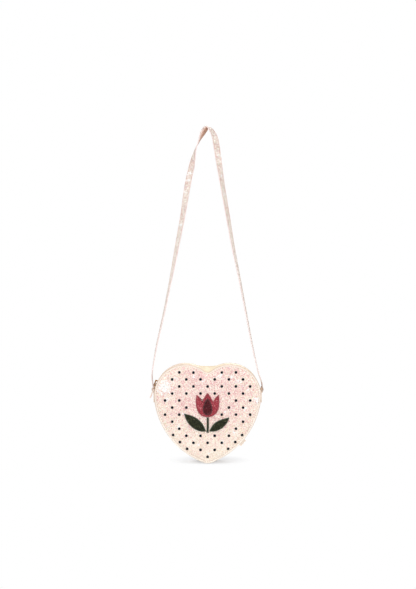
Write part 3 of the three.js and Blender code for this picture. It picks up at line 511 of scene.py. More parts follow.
def heart(way, inset):
    """X and Z of the outline by its way from the dip over the right side, drawn in by an inset.

    The way finds its arc and the angle on it; past the tip the point is the mirrored one."""
    way = np.mod(way, 2 * HALF_WAY)
    right = np.minimum(way, 2 * HALF_WAY - way)
    i = np.minimum(np.searchsorted(ARC_END, right), 3)
    share = 1 - (ARC_END[i] - right) / ARC_LENGTH[i]
    angle = ARC_FROM[i] + (ARC_TO[i] - ARC_FROM[i]) * share
    radius = ARC_RADIUS[i] - ARC_TURN[i] * inset
    x = ARC_CENTRE[i, 0] + radius * np.cos(angle)
    return np.where(way > HALF_WAY, -x, x), ARC_CENTRE[i, 1] + radius * np.sin(angle) + LOBE_Z


def lobe_way(degrees):
    """Way from the dip to an angle on the right lobe, up from its outermost point."""
    return LOBE_WAY - LOBE_RADIUS * math.radians(degrees)


OUTLINE = np.stack(heart(np.linspace(0, 2 * HALF_WAY, 600, endpoint=False), 0), -1)


def inside(points, outline):
    """Whether points lie in a closed outline: an odd number of its edges lies to their right."""
    a, b = outline, np.roll(outline, -1, 0)
    x, z = points[:, :1], points[:, 1:]
    spans = (a[:, 1] > z) != (b[:, 1] > z)
    slope = (b[:, 0] - a[:, 0]) / np.where(b[:, 1] == a[:, 1], 1, b[:, 1] - a[:, 1])
    return np.sum(spans & (x < a[:, 0] + (z - a[:, 1]) * slope), 1) % 2 == 1


def nearest(points, others):
    """Distance from points to the nearest of some other points."""
    return np.hypot(points[:, :1] - others[:, 0], points[:, 1:] - others[:, 1]).min(1)


def well_inside(points, outline, margin):
    """Whether points lie in an outline, further than a margin from it."""
    return inside(points, outline) & (nearest(points, outline) > margin)


# Panels: a rounded rim, a sewn groove and a swell that levels off.
RIM_LIP = 0.4
RIM_REACH = 0.35
CROWN_REACH = 13
SEAM_INSET = 3.0
SEAM_DEPTH = 0.75
SEAM_WIDTH = 0.8
RIPPLE = 0.22
RIPPLE_FADE = 10

# The face of each panel: the depth of its edge, 1 where it looks forward or -1 back, and its swell. The
# front is padded, and the back lies nearly flat over a board.
BACK_CROWN = 0.5
FRONT = (FRONT_EDGE, 1, 3.6)
BACK = (BACK_FACE - BACK_CROWN - RIM_LIP, -1, BACK_CROWN)


def rim_rise(inset, crown):
    """Height of a panel over its edge: a small lip, a cubic swell and a dip at the sewn line."""
    swell = crown * (1 - (1 - np.clip(inset / CROWN_REACH, 0, 1)) ** 3)
    lip = RIM_LIP * (1 - np.exp(-inset / RIM_REACH))
    return swell + lip - SEAM_DEPTH * np.exp(-((inset - SEAM_INSET) / SEAM_WIDTH) ** 2)


def ripples(x, z, inset):
    """Slight unevenness of the padding: three crossing waves that fade out towards the edge."""
    waves = np.sin(x / 7.1 + z / 16.3) + np.sin(z / 8.7 - x / 21.0 + 1.3) + np.sin((x + z) / 13.1 + 0.4)
    return RIPPLE * waves / 2 * smooth_step((inset - SEAM_INSET) / RIPPLE_FADE)


HEART_MIDDLE = LOBE_Z - 10
PANEL_STATIONS = 480
panel_ways = np.linspace(0, 2 * HALF_WAY, PANEL_STATIONS, endpoint=False)


def panel_ring(inset, share=1.0):
    """X and Z of a ring of the panel: the outline at an inset, scaled towards the panel's middle."""
    x, z = heart(panel_ways, inset)
    return x * share, HEART_MIDDLE + (z - HEART_MIDDLE) * share


RIM_INSETS = [0.06, 0.2, 0.45, 0.8, 1.3, 1.9]
FACE_INSETS = [*RIM_INSETS, 2.4, 2.8, 3.2, 3.6, 4.0, 4.4, 5.0, 5.8, 7, 8.6, 10.6, CROWN_REACH]
FACE_SHARES = np.linspace(0.93, 0.06, 15)
CORE_INSET = INNER_INSET + 1.4


def rolled_rim(seat):
    """Insets and distances behind the edge of the rim's section where it rolls back over the gusset."""
    return [(0.9, seat), (0.35, 0.88 * seat), (0.08, 0.55 * seat), (0.0, 0.2 * seat)]


def closed_panel(edge_y, forward, crown, seat, core):
    """A panel as one closed skin: flat inner face, rolled rim and swelled outer face.

    The seat is how far the rim reaches back over the gusset's edge, the core how far the inner
    face lies behind the edge, inside the gusset."""
    flat = [(CROWN_REACH, 0.06, core), (CROWN_REACH, 0.5, core), (CORE_INSET, 1, core), (CORE_INSET, 1, seat)]
    flat += [(inset, 1, back) for inset, back in rolled_rim(seat)]
    rings = [upright(panel_ring(inset, share), edge_y + forward * back) for inset, share, back in flat]
    swelled = [(inset, 1, inset) for inset in FACE_INSETS]
    swelled += [(CROWN_REACH, share, CROWN_REACH + SEAM_INSET) for share in FACE_SHARES]
    for inset, share, depth in swelled:
        ring = panel_ring(inset, share)
        rings.append(upright(ring, edge_y - forward * (rim_rise(inset, crown) + ripples(*ring, depth))))
    return loft(rings)


# Edge binding, folded over the rim from behind and sewn down in the groove.
BINDING = 0.25
BINDING_WIDTH = 3.5


def binding(edge_y, forward, crown, seat):
    """The strip as closed cloth: the rim's section carried round the heart, once pushed out, once in.

    Also gives a UV map of the way round and the inset."""
    front = np.array([*RIM_INSETS, 2.3, 2.6, 2.9, 3.2, BINDING_WIDTH])
    behind = [(inset, -back) for inset, back in rolled_rim(seat)]
    section = np.concatenate([behind, np.stack([front, rim_rise(front, crown)], -1)])
    tangent = unit(np.gradient(section, axis=0))
    away = np.stack([-tangent[:, 1], tangent[:, 0]], -1)
    faces = []
    for offset in (BINDING, -BINDING / 2):
        inset, rise = (section + offset * away).T
        way, inset = np.meshgrid(np.append(panel_ways, 0), inset, indexing="ij")
        faces.append(upright(heart(way, inset), edge_y - forward * rise))
    return shell(*faces), map_of(way, inset)


FLAKE_SIDES = 6
FLAKE_POINT = 0.2
CLUMP_SHARE = 0.7
WASH = "#fdf0dc"


def flakes(places, normals, radius, lean, rng):
    """Glitter: hexagons with a low point on both sides, turned and leaned at random on a surface."""
    count = len(places)
    normal = unit(normals + rng.normal(0, lean, (count, 3)))
    first = unit(np.cross(normal, rng.normal(size=(count, 3))))
    second = np.cross(normal, first)
    size = radius * rng.uniform(0.65, 1.3, (count, 1, 1))
    points = normal[:, None] * np.array([FLAKE_POINT, -FLAKE_POINT])[None, :, None]
    corner = places[:, None] + size * np.concatenate([ring(FLAKE_SIDES, first, second), points], 1)
    i = np.arange(FLAKE_SIDES)
    j = (i + 1) % FLAKE_SIDES
    top, low = np.full(FLAKE_SIDES, FLAKE_SIDES), np.full(FLAKE_SIDES, FLAKE_SIDES + 1)
    fan = np.concatenate([np.stack([i, j, top], -1), np.stack([j, i, low], -1)])
    return corner.reshape(-1, 3), repeated([fan], FLAKE_SIDES + 2, count)


def glitter(name, places, normals, radius, palette, rng, film=pearl_film, lean=0.28, wash=0.0, clump=None):
    """A piece of flakes, each tinted with one colour of a palette of (hex, weight) pairs.

    The wash is the share of cream mixed into each tint. Most flakes of a clump share their tint."""
    made = piece(name, flakes(places, normals, radius, lean, rng), film, sharp=1)
    weights = np.array([weight for _, weight in palette], float)
    codes = np.array([linear(code) for code, _ in palette])
    pick = rng.choice(len(palette), len(places), p=weights / weights.sum())
    if clump is not None:
        shared = rng.choice(len(palette), clump.max() + 1, p=weights / weights.sum())[clump]
        pick = np.where(rng.random(len(places)) < CLUMP_SHARE, shared, pick)
    chosen = codes[pick]
    chosen += (np.array(linear(WASH)) - chosen) * wash
    layer = made.data.color_attributes.new("tint", "FLOAT_COLOR", "POINT")
    layer.data.foreach_set("color", np.repeat(chosen, FLAKE_SIDES + 2, 0).astype(np.float32).ravel())
    return made


# One grain of thread: three rings of six points between two sunk ends, thickest in the middle.
grain_points, grain_faces = loft([
    ring(6, [0, wide, 0], [0, 0, wide]) + [along, 0, 0]
    for along, wide in ((-0.62, 0.8), (0.0, 1.0), (0.62, 0.8))])
grain_points[-2:] = [[-1.0, 0, -0.4], [1.0, 0, -0.4]]


def grains(middles, along, up, length, width):
    """Stitches: one grain of thread at each place, lying along one direction with another up."""
    up = np.broadcast_to(up, along.shape)
    axes = np.stack([along * length / 2, np.cross(up, along) * width / 2, up * width / 2], 1)
    points = middles[:, None] + np.einsum("pk,nkc->npc", grain_points, axes)
    return points.reshape(-1, 3), repeated(grain_faces, len(grain_points), len(middles))


def thread(name, material, *runs):
    """A piece of stitches from runs of middles, directions, ups, length and width."""
    return piece(name, together(*(grains(*run) for run in runs)), material)


def run_along(path, normals, length=2.6, gap=0.8, width=0.55):
    """Stitches end to end along a path of points, with the surface's normals as their up."""
    way = way_along(path)
    count = int(way[-1] / (length + gap))
    middle = (np.arange(count) + 0.5) * way[-1] / count
    tail, head = (between(middle + half, way, path) for half in (-length / 2, length / 2))
    along = unit(head - tail)
    up = between(middle, way, normals)
    up = unit(up - along * np.sum(up * along, 1, keepdims=True))
    return (tail + head) / 2, along, up, length, width


# Axes of the bends as the mouth opens: the front bends between two heights, and the cloth of its upper edge
# folds on a slant, from the bend at the seam to the mouth's end at the slit, so that the mouth's corners stay
# sewn.
# They are only listed; on_body reads just their names.
BEND_LOW = FOLD_Z - 1
BEND = 9
MOUTH_END_Z = LOBE_Z + LOBE_RADIUS * math.sin(math.radians(MOUTH_END_ANGLE))
slant = np.array([0, (BEND_LOW - MOUTH_END_Z) / (ZIP_Y - SLIT_HALF - SIDE_FRONT), 1]) / BEND
seam_bend = np.array([0, SIDE_FRONT, BEND_LOW])
BENDS = {
    "front_flap": ((0, 0, BEND_LOW * MM), (0, 0, (BEND_LOW + BEND) * MM)),
    "mouth_edge": (tuple(seam_bend * MM), tuple((seam_bend + slant / (slant @ slant)) * MM))}


def on_body(made, body, slot, *nodes):
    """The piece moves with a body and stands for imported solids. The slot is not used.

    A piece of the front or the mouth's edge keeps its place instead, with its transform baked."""
    if body in BENDS:
        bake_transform(made)
    else:
        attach(made, body)
    if nodes:
        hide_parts(*nodes)
    return made


def edge_seam(edge_y, forward, crown):
    """Stitches in the groove all round a panel, on its binding."""
    y = edge_y - forward * (rim_rise(SEAM_INSET, crown) + BINDING)
    path = upright(heart(np.linspace(0, 2 * HALF_WAY, 900), SEAM_INSET), y)
    return run_along(path, np.tile(forward * FRONTWARD, (len(path), 1)), width=0.7)


FRONT_SEAT, FRONT_CORE = 1.4, 3.1
BACK_SEAT, BACK_CORE = 0.6, 0.5
for name, face, seat, core, fill, body, nodes in (
        ("front", FRONT, FRONT_SEAT, FRONT_CORE, 0.5, "front_flap",
         ("front_cover_upper", "front_cover_lower", "front_padding_upper", "front_padding_lower")),
        ("back", BACK, BACK_SEAT, BACK_CORE, 0.2, "bag", ("back_cover",))):
    panel = piece(name + "_panel", closed_panel(*face, seat, core), glitter_cloth)
    on_body(panel, body, "glitter_cloth", *nodes)
    skin, uv = binding(*face, seat)
    on_body(piece(name + "_binding", skin, binding_cloth, uv), body, "glitter_cloth")
    on_body(thread(name + "_stitching", pink_thread, edge_seam(*face)), body, "glitter_cloth")


SLOPE_STEP = 0.4


def panel_depth(points, edge_y, forward, crown):
    """Depth of a panel's face over points of the heart, by their distance from its outline."""
    inset = nearest(points, OUTLINE)
    return edge_y - forward * (rim_rise(inset, crown) + ripples(*points.T, inset))


def panel_surface(points, *face):
    """Places and outward normals on a panel's face, the normals from its slopes over small steps."""
    slopes = [
        (panel_depth(points + step, *face) - panel_depth(points - step, *face)) / (2 * SLOPE_STEP)
        for step in SLOPE_STEP * np.eye(2)]
    return upright(points.T, panel_depth(points, *face)), unit(upright(slopes, -1.0)) * face[1]


# Dots: rows half a pitch apart in turn, over the whole panel inside its sewn edge.
DOT_PITCH = 21.7
DOT_ROW = 10.78
DOT_TOP = 36.2
DOT_RADIUS = 2.25
DOT_HEIGHT = 0.45
DOT_MARGIN = 3.4
DOT_CLEAR = DOT_RADIUS + 0.3
DOT_REACH = 70
DOT_ROWS = 14
DOT_COLUMNS = 9
DRAW_IN = 2.0
DRAW_DEPTH = 8


def dot_places():
    """Places of the dots on a staggered lattice, those near the edge drawn in as the cloth swells."""
    row, column = np.meshgrid(np.arange(DOT_ROWS), np.arange(DOT_COLUMNS) - DOT_COLUMNS // 2, indexing="ij")
    points = map_of(DOT_PITCH * (column + 0.5 * (row % 2)), LOBE_Z + DOT_TOP - DOT_ROW * row)
    points = points[well_inside(points, OUTLINE, DOT_MARGIN) & (np.abs(points[:, 0]) < DOT_REACH)]
    distance = nearest(points, OUTLINE)
    sides = [nearest(points + step, OUTLINE) - distance for step in ([1, 0], [0, 1])]
    pull = DRAW_IN * (1 - smooth_step((distance - DOT_MARGIN) / DRAW_DEPTH))
    return points + unit(np.stack(sides, -1)) * pull[:, None]


def domes(places, normals, radius, height):
    """Low round domes: rings of a profile turned round each normal, with a sunk foot."""
    profile = np.array([[0.9, -0.8], [1.0, -0.5], [1.0, 0.1], [0.85, 0.6], [0.5, 0.92], [0.15, 1.0]])
    wide, rise = profile.T[..., None, None]
    parts = []
    for place, normal in zip(places, normals):
        first = unit(np.cross(normal, [0.0, 0.0, 1.0]))
        rim = ring(14, first, np.cross(normal, first))
        parts.append(loft(place + radius * wide * rim + height * rise * normal))
    return together(*parts)


# Sewn flower: width, height and foot of each figure, and curves whose control points are shares of half the
# width and of the height.
PATCH_DROP = 26
FLOWER = (34, 37, -6, [
    [(0, 0), (0.76, -0.03), (1.24, 0.32), (1, 0.92)], [(1, 0.92), (0.65, 0.81), (0.5, 0.62)],
    [(0.5, 0.62), (0.29, 0.84), (0, 1)], [(0, 1), (-0.29, 0.84), (-0.5, 0.62)],
    [(-0.5, 0.62), (-0.65, 0.81), (-1, 0.92)], [(-1, 0.92), (-1.24, 0.32), (-0.76, -0.03), (0, 0)]])
PETAL = (15, 26.5, -3.5, [
    [(0, 0), (1.33, 0.02), (1.33, 0.58), (0, 1)], [(0, 1), (-1.33, 0.58), (-1.33, 0.02), (0, 0)]])
STEM = (3.2, 23.2, -30, [
    [(-1, 1), (1, 1)], [(1, 1), (1.5, 0.52), (0.9, 0)],
    [(0.9, 0), (-1.1, 0)], [(-1.1, 0), (-0.5, 0.52), (-1, 1)]])
LEAF_ROOT = 2.6
LEAF_FOOT = -29


def leaf(side, reach, height):
    """Width, height, foot and curves of a leaf that rises to one side of the stem's foot."""
    root = LEAF_ROOT / reach
    rise = [(root, 0.05), (0.3, -0.07), (0.86, 0.18), (1, 1)]
    fall = [(1, 1), (0.6, 0.9), (0.24, 0.72), (root, 0.05)]
    return 2 * side * reach, height, LEAF_FOOT, [rise, fall]


def figure_outline(width, height, foot, curves, count=200):
    """Evenly spaced points round a figure of Bezier curves, in the plane of X and Z, and its length."""
    t = np.linspace(0, 1, 40, endpoint=False)[:, None]
    points = []
    for curve in curves:
        n = len(curve) - 1
        weights = [math.comb(n, k) * t ** k * (1 - t) ** (n - k) for k in range(n + 1)]
        points.append(sum(w * np.array(p) for w, p in zip(weights, curve)))
    points = np.concatenate(points) * [width / 2, height] + [0, foot + LOBE_Z - PATCH_DROP]
    closed = np.concatenate([points, points[:1]])
    way = way_along(closed)
    return between(np.linspace(0, way[-1], count, endpoint=False), way, closed), way[-1]


PATCH_FOOT = 0.2
PATCH_PUFF = 0.5
PATCH_RINGS = [
    (1.0, 0.0), (1.0, 0.45), (0.985, 0.75), (0.955, 0.93), (0.9, 1.0), (0.7, 1.2), (0.45, 1.4), (0.15, 1.5)]
BORDER_LENGTH = 1.9
BORDER_WIDTH = 0.85
BORDER_SEAT = 0.42 * BORDER_LENGTH
BORDER_LIFT = 0.05
PATCH_FLAKE = 0.5
PATCH_FLAKE_LIFT = 0.35
PATCH_FLAKES_PER_MM2 = 0.9
slots = {part["node"]: part["material_slot"] for part in frame["record"]["subparts"]}
patch_outlines = []


def sewn_patch(name, figure, middle, foot, material, edge_thread, palette, seed):
    """A puffed patch with a border of close stitches and, where it is wide enough, a strew of flakes.

    Rings shrink from the outline to a middle, first rising over a rounded edge, then swelling. The foot is
    how far the edge sinks in."""
    rng = np.random.default_rng(seed)
    outline, length = figure_outline(*figure)
    patch_outlines.append(outline)
    middle = np.array([middle[0], middle[1] + LOBE_Z - PATCH_DROP])
    low, high = corners(name)
    back, top = high[1] + (GAP + foot), low[1]
    rings = []
    for share, rise in PATCH_RINGS:
        height = min(rise, 1) * (back - top) + max(rise - 1, 0) * 2 * PATCH_PUFF
        rings.append(upright((middle + (outline - middle) * share).T, back - height))
    cloth = on_body(piece(name + "_patch", loft(rings), material), "bag", slots[name], name)

    tangent = unit(np.roll(outline, -1, 0) - np.roll(outline, 1, 0))
    inward = np.stack([-tangent[:, 1], tangent[:, 0]], -1)
    inward = inward if inside(outline[:1] + 0.3 * inward[:1], outline)[0] else -inward
    pick = np.linspace(0, len(outline), int(length / BORDER_WIDTH), endpoint=False).astype(int)
    middles = upright((outline[pick] + inward[pick] * BORDER_SEAT).T, top - BORDER_LIFT)
    stitches = (middles, upright(inward[pick].T, 0.0), FRONTWARD, BORDER_LENGTH, BORDER_WIDTH)
    on_body(thread(name + "_border", edge_thread, stitches), "bag", slots[name])

    spread = outline.max(0) - outline.min(0)
    points = outline.min(0) + rng.random((int(spread.prod() * PATCH_FLAKES_PER_MM2), 2)) * spread
    points = points[well_inside(points, outline, BORDER_LENGTH)]
    if len(points):
        places = upright(points.T, top - PATCH_FLAKE_LIFT)
        strewn = glitter(name + "_glitter", places, FRONTWARD, PATCH_FLAKE, palette, rng, dull_film)
        on_body(strewn, "bag", slots[name])


RED_FLAKES = [("#a83a46", 5), ("#c05560", 3), ("#7d2430", 3), ("#e2a0a0", 1)]
DARK_RED_FLAKES = [("#4c131a", 5), ("#6a222a", 3), ("#320a0f", 3), ("#a06068", 0.4)]
GREEN_FLAKES = [("#202313", 5), ("#333822", 3), ("#13140a", 3), ("#7d8163", 0.8)]
GREEN = (green_patch, green_thread, GREEN_FLAKES)
sewn_patch("flower", FLOWER, (0, 0), PATCH_FOOT, red_patch, red_thread, RED_FLAKES, 11)
sewn_patch("flower_petal", PETAL, (0, 7), 0, dark_red_patch, dark_red_thread, DARK_RED_FLAKES, 12)
sewn_patch("flower_stem", STEM, (0.3, -18), PATCH_FOOT, *GREEN, 13)
sewn_patch("leaf_left", leaf(-1, 36, 28), (-19, -19), PATCH_FOOT, *GREEN, 14)
sewn_patch("leaf_right", leaf(1, 33, 22), (17.5, -21), PATCH_FOOT, *GREEN, 15)


def on_patches(points):
    """Whether points lie in the outline of any patch."""
    return np.any([inside(points, outline) for outline in patch_outlines], 0)


FLOWER_MARGIN = 2.2
dots = dot_places()
near_patch = nearest(dots, np.concatenate(patch_outlines)) < DOT_RADIUS + FLOWER_MARGIN
front_dot_places = dots[~(on_patches(dots) | near_patch)]

# Flakes on both panels: pinker in the upper middle, creamier towards the edge and the tip.
PINK_FLAKES = [
    ("#e8adb0", 5), ("#f3c7c5", 6), ("#da9299", 2), ("#faf0ea", 4), ("#edd8c4", 2), ("#cfa9c8", 0.5)]
CREAM_FLAKES = [("#f9e6cf", 7), ("#fcfaf0", 6), ("#f1c8c3", 3.5), ("#e3d9b4", 2), ("#e7aaaa", 1.6)]
FLAKE_RADIUS = 0.72
FLAKE_LIFT = 0.05
PINK_WIDE, PINK_HIGH, PINK_UP = 62, 52, 6
PINK_SHARE, PINK_STREAK, PINK_SCATTER = 0.85, 0.4, 0.2
CREAM_WASH = 0.6


def streaks(x, z):
    """Uneven strewing, from -1 to 1: two waves a few millimetres long, each bent by the other direction."""
    return (np.sin(x / 1.5 + 1.7 * np.sin(z / 2.6)) + np.sin(z / 1.7 + 1.5 * np.sin(x / 2.2) + 2)) / 2


def panel_glitter(name, face, count, skip, seed):
    """Two strews of flakes over a panel, parted by the distance from its pink upper middle."""
    rng = np.random.default_rng(seed)
    low, high = OUTLINE.min(0), OUTLINE.max(0)
    points = low + rng.random((count, 2)) * (high - low)
    points = points[well_inside(points, OUTLINE, BINDING_WIDTH) & (nearest(points, skip) > DOT_CLEAR)]
    away = np.hypot(points[:, 0] / PINK_WIDE, (points[:, 1] - LOBE_Z - PINK_UP) / PINK_HIGH)
    pink = away + PINK_STREAK * streaks(*points.T) + rng.normal(0, PINK_SCATTER, len(points)) < PINK_SHARE
    made = []
    for part, chosen, palette in (("pink", pink, PINK_FLAKES), ("cream", ~pink, CREAM_FLAKES)):
        places, normals = panel_surface(points[chosen], *face)
        wash = CREAM_WASH * fade(places[:, 2:], PANEL_PALE)
        places = places + FLAKE_LIFT * normals
        made.append(glitter(f"{name}_{part}_glitter", places, normals, FLAKE_RADIUS, palette, rng, wash=wash))
    return made


for name, face, body, places, count, seed in (
        ("front", FRONT, "front_flap", front_dot_places, 11500, 21), ("back", BACK, "bag", dots, 8000, 22)):
    film = domes(*panel_surface(places, *face), DOT_RADIUS, DOT_HEIGHT)
    on_body(piece(name + "_dots", film, black_film), body, "glitter_cloth")
    for strewn in panel_glitter(name, face, count, places, seed):
        on_body(strewn, body, "glitter_cloth")

# Painted highlights: clusters of white flakes standing in for glints of light on the cloth. Columns: across,
# up from the lobes' centres, spread, flakes.
PAINTED_GLINTS = [
    (-66, 13, 5.5, 210), (75, -6, 2.5, 42), (37.5, 29, 1.8, 14), (18.5, 29.5, 2.2, 18), (-36, -28, 1.5, 9),
    (10, -28, 1.4, 8), (-6.5, 23, 1.2, 6), (27, -25, 1.4, 8), (-48, 27, 1.6, 10), (48, 22, 1.6, 10),
    (-20, 30, 1.4, 8), (-62, -6, 1.5, 9), (58, -20, 1.4, 8), (-44, -48, 1.6, 10), (40, -56, 1.4, 9),
    (-14, -74, 1.5, 9), (22, -70, 1.3, 7), (2, -88, 1.3, 7), (62, 10, 1.4, 8)]
THICK_GLINT = 100
PAINTED_GLINT_FLAKES = [("#ffffff", 4), ("#fffaf4", 2)]
GLINT_RADIUS = 1.0
GLINT_LIFT = 0.12
# Painted glare: the flakes of a thick cluster sit over the dots.
GLINT_LIFT_ON_DOT = DOT_HEIGHT + 0.1
GLINT_LEAN = 0.12


def painted_glints(seed):
    """Painted highlights: clusters of white flakes, clear of the patches.

    Those of a thick cluster also lie on the dots, as painted glare.
    """
    rng = np.random.default_rng(seed)
    points = np.concatenate([
        np.array([x, LOBE_Z + up]) + rng.normal(0, spread, (count, 2)) for x, up, spread, count in PAINTED_GLINTS])
    thick = np.concatenate([np.full(count, count > THICK_GLINT) for *_, count in PAINTED_GLINTS])
    on_dot = nearest(points, front_dot_places) < DOT_CLEAR
    kept = well_inside(points, OUTLINE, BINDING_WIDTH) & ~on_patches(points) & (thick | ~on_dot)
    places, normals = panel_surface(points[kept], *FRONT)
    places += np.where(on_dot[kept], GLINT_LIFT_ON_DOT, GLINT_LIFT)[:, None] * normals
    return glitter("front_painted_glint_glitter", places, normals, GLINT_RADIUS, PAINTED_GLINT_FLAKES, rng, lean=GLINT_LEAN)


on_body(painted_glints(23), "front_flap", "glitter_cloth")

# Gusset: leatherette round the tip, with an ear in front of each end of the zip.
GUSSET_BOW = 0.9
BOW_FROM_ANGLE, BOW_EASE = -24, 40
WRINKLE, WRINKLE_REACH, WRINKLE_EASE = 0.18, 34, 20
SEAM_TUCK = 0.9
GUSSET_SEAMS = (0.07, 0.93)
GUSSET_SEAM_ENDS = 2
GUSSET_SEAM_LIFT = 0.1
EAR_ANGLES = (ZIP_END_ANGLE - 1, MOUTH_END_ANGLE - 0.4)
ACROSS = np.array([0, 0.012, 0.03, 0.06, 0.12, 0.2, 0.3, 0.4, 0.5, 0.6, 0.7, 0.8, 0.88, 0.94, 0.97, 0.988, 1])
gusset_start = lobe_way(ZIP_END_ANGLE)


def tuck(share, reach):
    """How far the cloth turns in towards a seam, by the share of its width from the seam."""
    return SEAM_TUCK * (1 - smooth_step(share / reach))


def gusset_band():
    """The outline from one end of the zip round the tip to the other, carried across the depth.

    It bows out a little between the seams along the lower sides and wrinkles slightly at the tip."""
    share, way = np.meshgrid(ACROSS, np.linspace(gusset_start, 2 * HALF_WAY - gusset_start, 420))
    right = np.minimum(way, 2 * HALF_WAY - way)
    low = smooth_step((right - lobe_way(BOW_FROM_ANGLE)) / BOW_EASE)
    near_tip = smooth_step((right - HALF_WAY + WRINKLE_REACH) / WRINKLE_EASE)
    wrinkle = WRINKLE * np.sin(right / 2.9 + 5 * share) * near_tip * np.sin(np.pi * share)
    inset = tuck(np.minimum(share, 1 - share), 0.05) - GUSSET_BOW * low * 4 * share * (1 - share) - wrinkle
    y = SIDE_FRONT + (SIDE_BACK - SIDE_FRONT) * share
    return shell(*(upright(heart(way, inset + depth), y) for depth in (0, SIDE_CLOTH)))


def gusset_ear(side):
    """The strip in front of the zip's sewn end, on one lobe, from the seam to the slot."""
    share, angle = np.meshgrid(ACROSS[:13] / ACROSS[12], np.radians(np.linspace(*EAR_ANGLES, 40)))
    y = SIDE_FRONT + (ZIP_Y - SLOT_HALF - SIDE_FRONT) * share
    faces = []
    for depth in (0, SIDE_CLOTH):
        radius = LOBE_RADIUS - tuck(share, 0.2) - depth
        x = side * (LOBE_SPREAD + radius * np.cos(angle))
        faces.append(upright((x, LOBE_Z + radius * np.sin(angle)), y))
    return shell(*faces)


def gusset_seam(share):
    """Stitches along the gusset at a share of its width, stopping a little short of its ends."""
    start = gusset_start + GUSSET_SEAM_ENDS
    way = np.linspace(start, 2 * HALF_WAY - start, 700)
    y = SIDE_FRONT + (SIDE_BACK - SIDE_FRONT) * share
    path = upright(heart(way, -GUSSET_SEAM_LIFT), y)
    return run_along(path, unit(path - upright(heart(way, 1), y)))


gusset = piece("gusset_cloth", together(gusset_band(), gusset_ear(1), gusset_ear(-1)), leatherette)
on_body(gusset, "mouth_edge", "cream_leatherette", "gusset")
gusset_stitching = thread("gusset_stitching", cream_thread, *(gusset_seam(share) for share in GUSSET_SEAMS))
on_body(gusset_stitching, "bag", "cream_leatherette")

# Zip facings, tapes and coils along the zip's line over the top.
ZIP_DIP_HALF = ZIP_DIP_RADIUS * (ZIP_START - math.pi / 2)


def zip_line(distance, inset):
    """X and Z on the zip's line by the distance from its middle: a wide dip, then a lobe at each side."""
    side, away = np.where(distance < 0, -1, 1), np.abs(distance)
    dip = away < ZIP_DIP_HALF
    lobe = ZIP_START - (away - ZIP_DIP_HALF) / LOBE_RADIUS
    angle = np.where(dip, away / ZIP_DIP_RADIUS - math.pi / 2, lobe)
    radius = np.where(dip, ZIP_DIP_RADIUS + inset, LOBE_RADIUS - inset)
    x = side * (np.where(dip, 0, LOBE_SPREAD) + radius * np.cos(angle))
    return x, np.where(dip, ZIP_DIP, 0) + radius * np.sin(angle) + LOBE_Z


def zip_reach(degrees):
    """Distance along the zip from its middle to an angle on a lobe."""
    return ZIP_DIP_HALF + LOBE_RADIUS * (ZIP_START - math.radians(degrees))


def seam_height(x, inset):
    """Height of the front or back seam between the lobes: the dip's arc, then the lobes' arcs."""
    offset = np.abs(x)
    touch = LOBE_SPREAD + LOBE_RADIUS * math.cos(LOBE_START)
    dip = PANEL_DIP - np.sqrt(np.maximum((DIP_RADIUS + inset) ** 2 - offset ** 2, 0))
    lobe = np.sqrt(np.maximum((LOBE_RADIUS - inset) ** 2 - (LOBE_SPREAD - offset) ** 2, 0))
    return np.where(offset < touch, dip, lobe) + LOBE_Z


FACING_BOW = 0.2
FACING_STITCH = 1.9
FACING_STITCH_LIFT = 0.12
MOUTH_REACH = zip_reach(MOUTH_END_ANGLE)
ZIP_REACH = zip_reach(ZIP_END_ANGLE) - GAP


def facing_grid(reach, slot_y, tape_y, seam_y, depth):
    """Grid of a facing from the zip's slot to a seam, at a depth below its outer face.

    It follows the zip's line, bows a little, and between the lobes saddles down to the seam."""
    share, distance = np.meshgrid(ACROSS, np.linspace(-reach, reach, 260))
    y = slot_y + (seam_y - slot_y) * share
    turn_in = tuck(1 - share, 0.12)
    bow = FACING_BOW * np.sin(np.pi * share) ** 2
    x, z = zip_line(distance, depth + turn_in - bow)
    fall = np.clip((y - tape_y) / (seam_y - tape_y), 0, 1) ** 1.5
    saddle = z + (seam_height(x, depth + turn_in) - z) * fall
    return upright((x, np.where(np.abs(x) < LOBE_SPREAD, saddle, z)), y)


for name, body, limits in (
        ("zip_facing_front", "mouth_edge", (MOUTH_REACH, ZIP_Y - SLOT_HALF, ZIP_Y - TAPE_HALF, SIDE_FRONT)),
        ("zip_facing_back", "bag", (ZIP_REACH, ZIP_Y + SLOT_HALF, ZIP_Y + TAPE_HALF, SIDE_BACK))):
    reach, slot_y, tape_y, seam_y = limits
    outer, inner = facing_grid(*limits, 0), facing_grid(*limits, SIDE_CLOTH)
    cloth = on_body(piece(name + "_cloth", shell(outer, inner), leatherette), body, "cream_leatherette", name)
    column = np.searchsorted(ACROSS, FACING_STITCH / abs(seam_y - slot_y))
    row, lower = (grid[2:-2, column] for grid in (outer, facing_grid(*limits, 1)))
    up = unit(row - lower)
    seam = thread(name + "_stitching", cream_thread, run_along(row + FACING_STITCH_LIFT * up, up))
    on_body(seam, body, "cream_leatherette")
    width, length = abs(seam_y - slot_y) * MM, 2 * reach * MM


def zip_strip(start, end, y_from, y_to):
    """A strip of tape along the zip's line under the facings, with a UV map in millimetres."""
    steps = max(int((end - start) / 1.2), 12)
    across, distance = np.meshgrid(np.linspace(y_from, y_to, 9), np.linspace(start, end, steps))
    faces = [upright(zip_line(distance, depth), across) for depth in (INNER_INSET, INNER_INSET + TAPE)]
    return shell(*faces), map_of(distance, across)


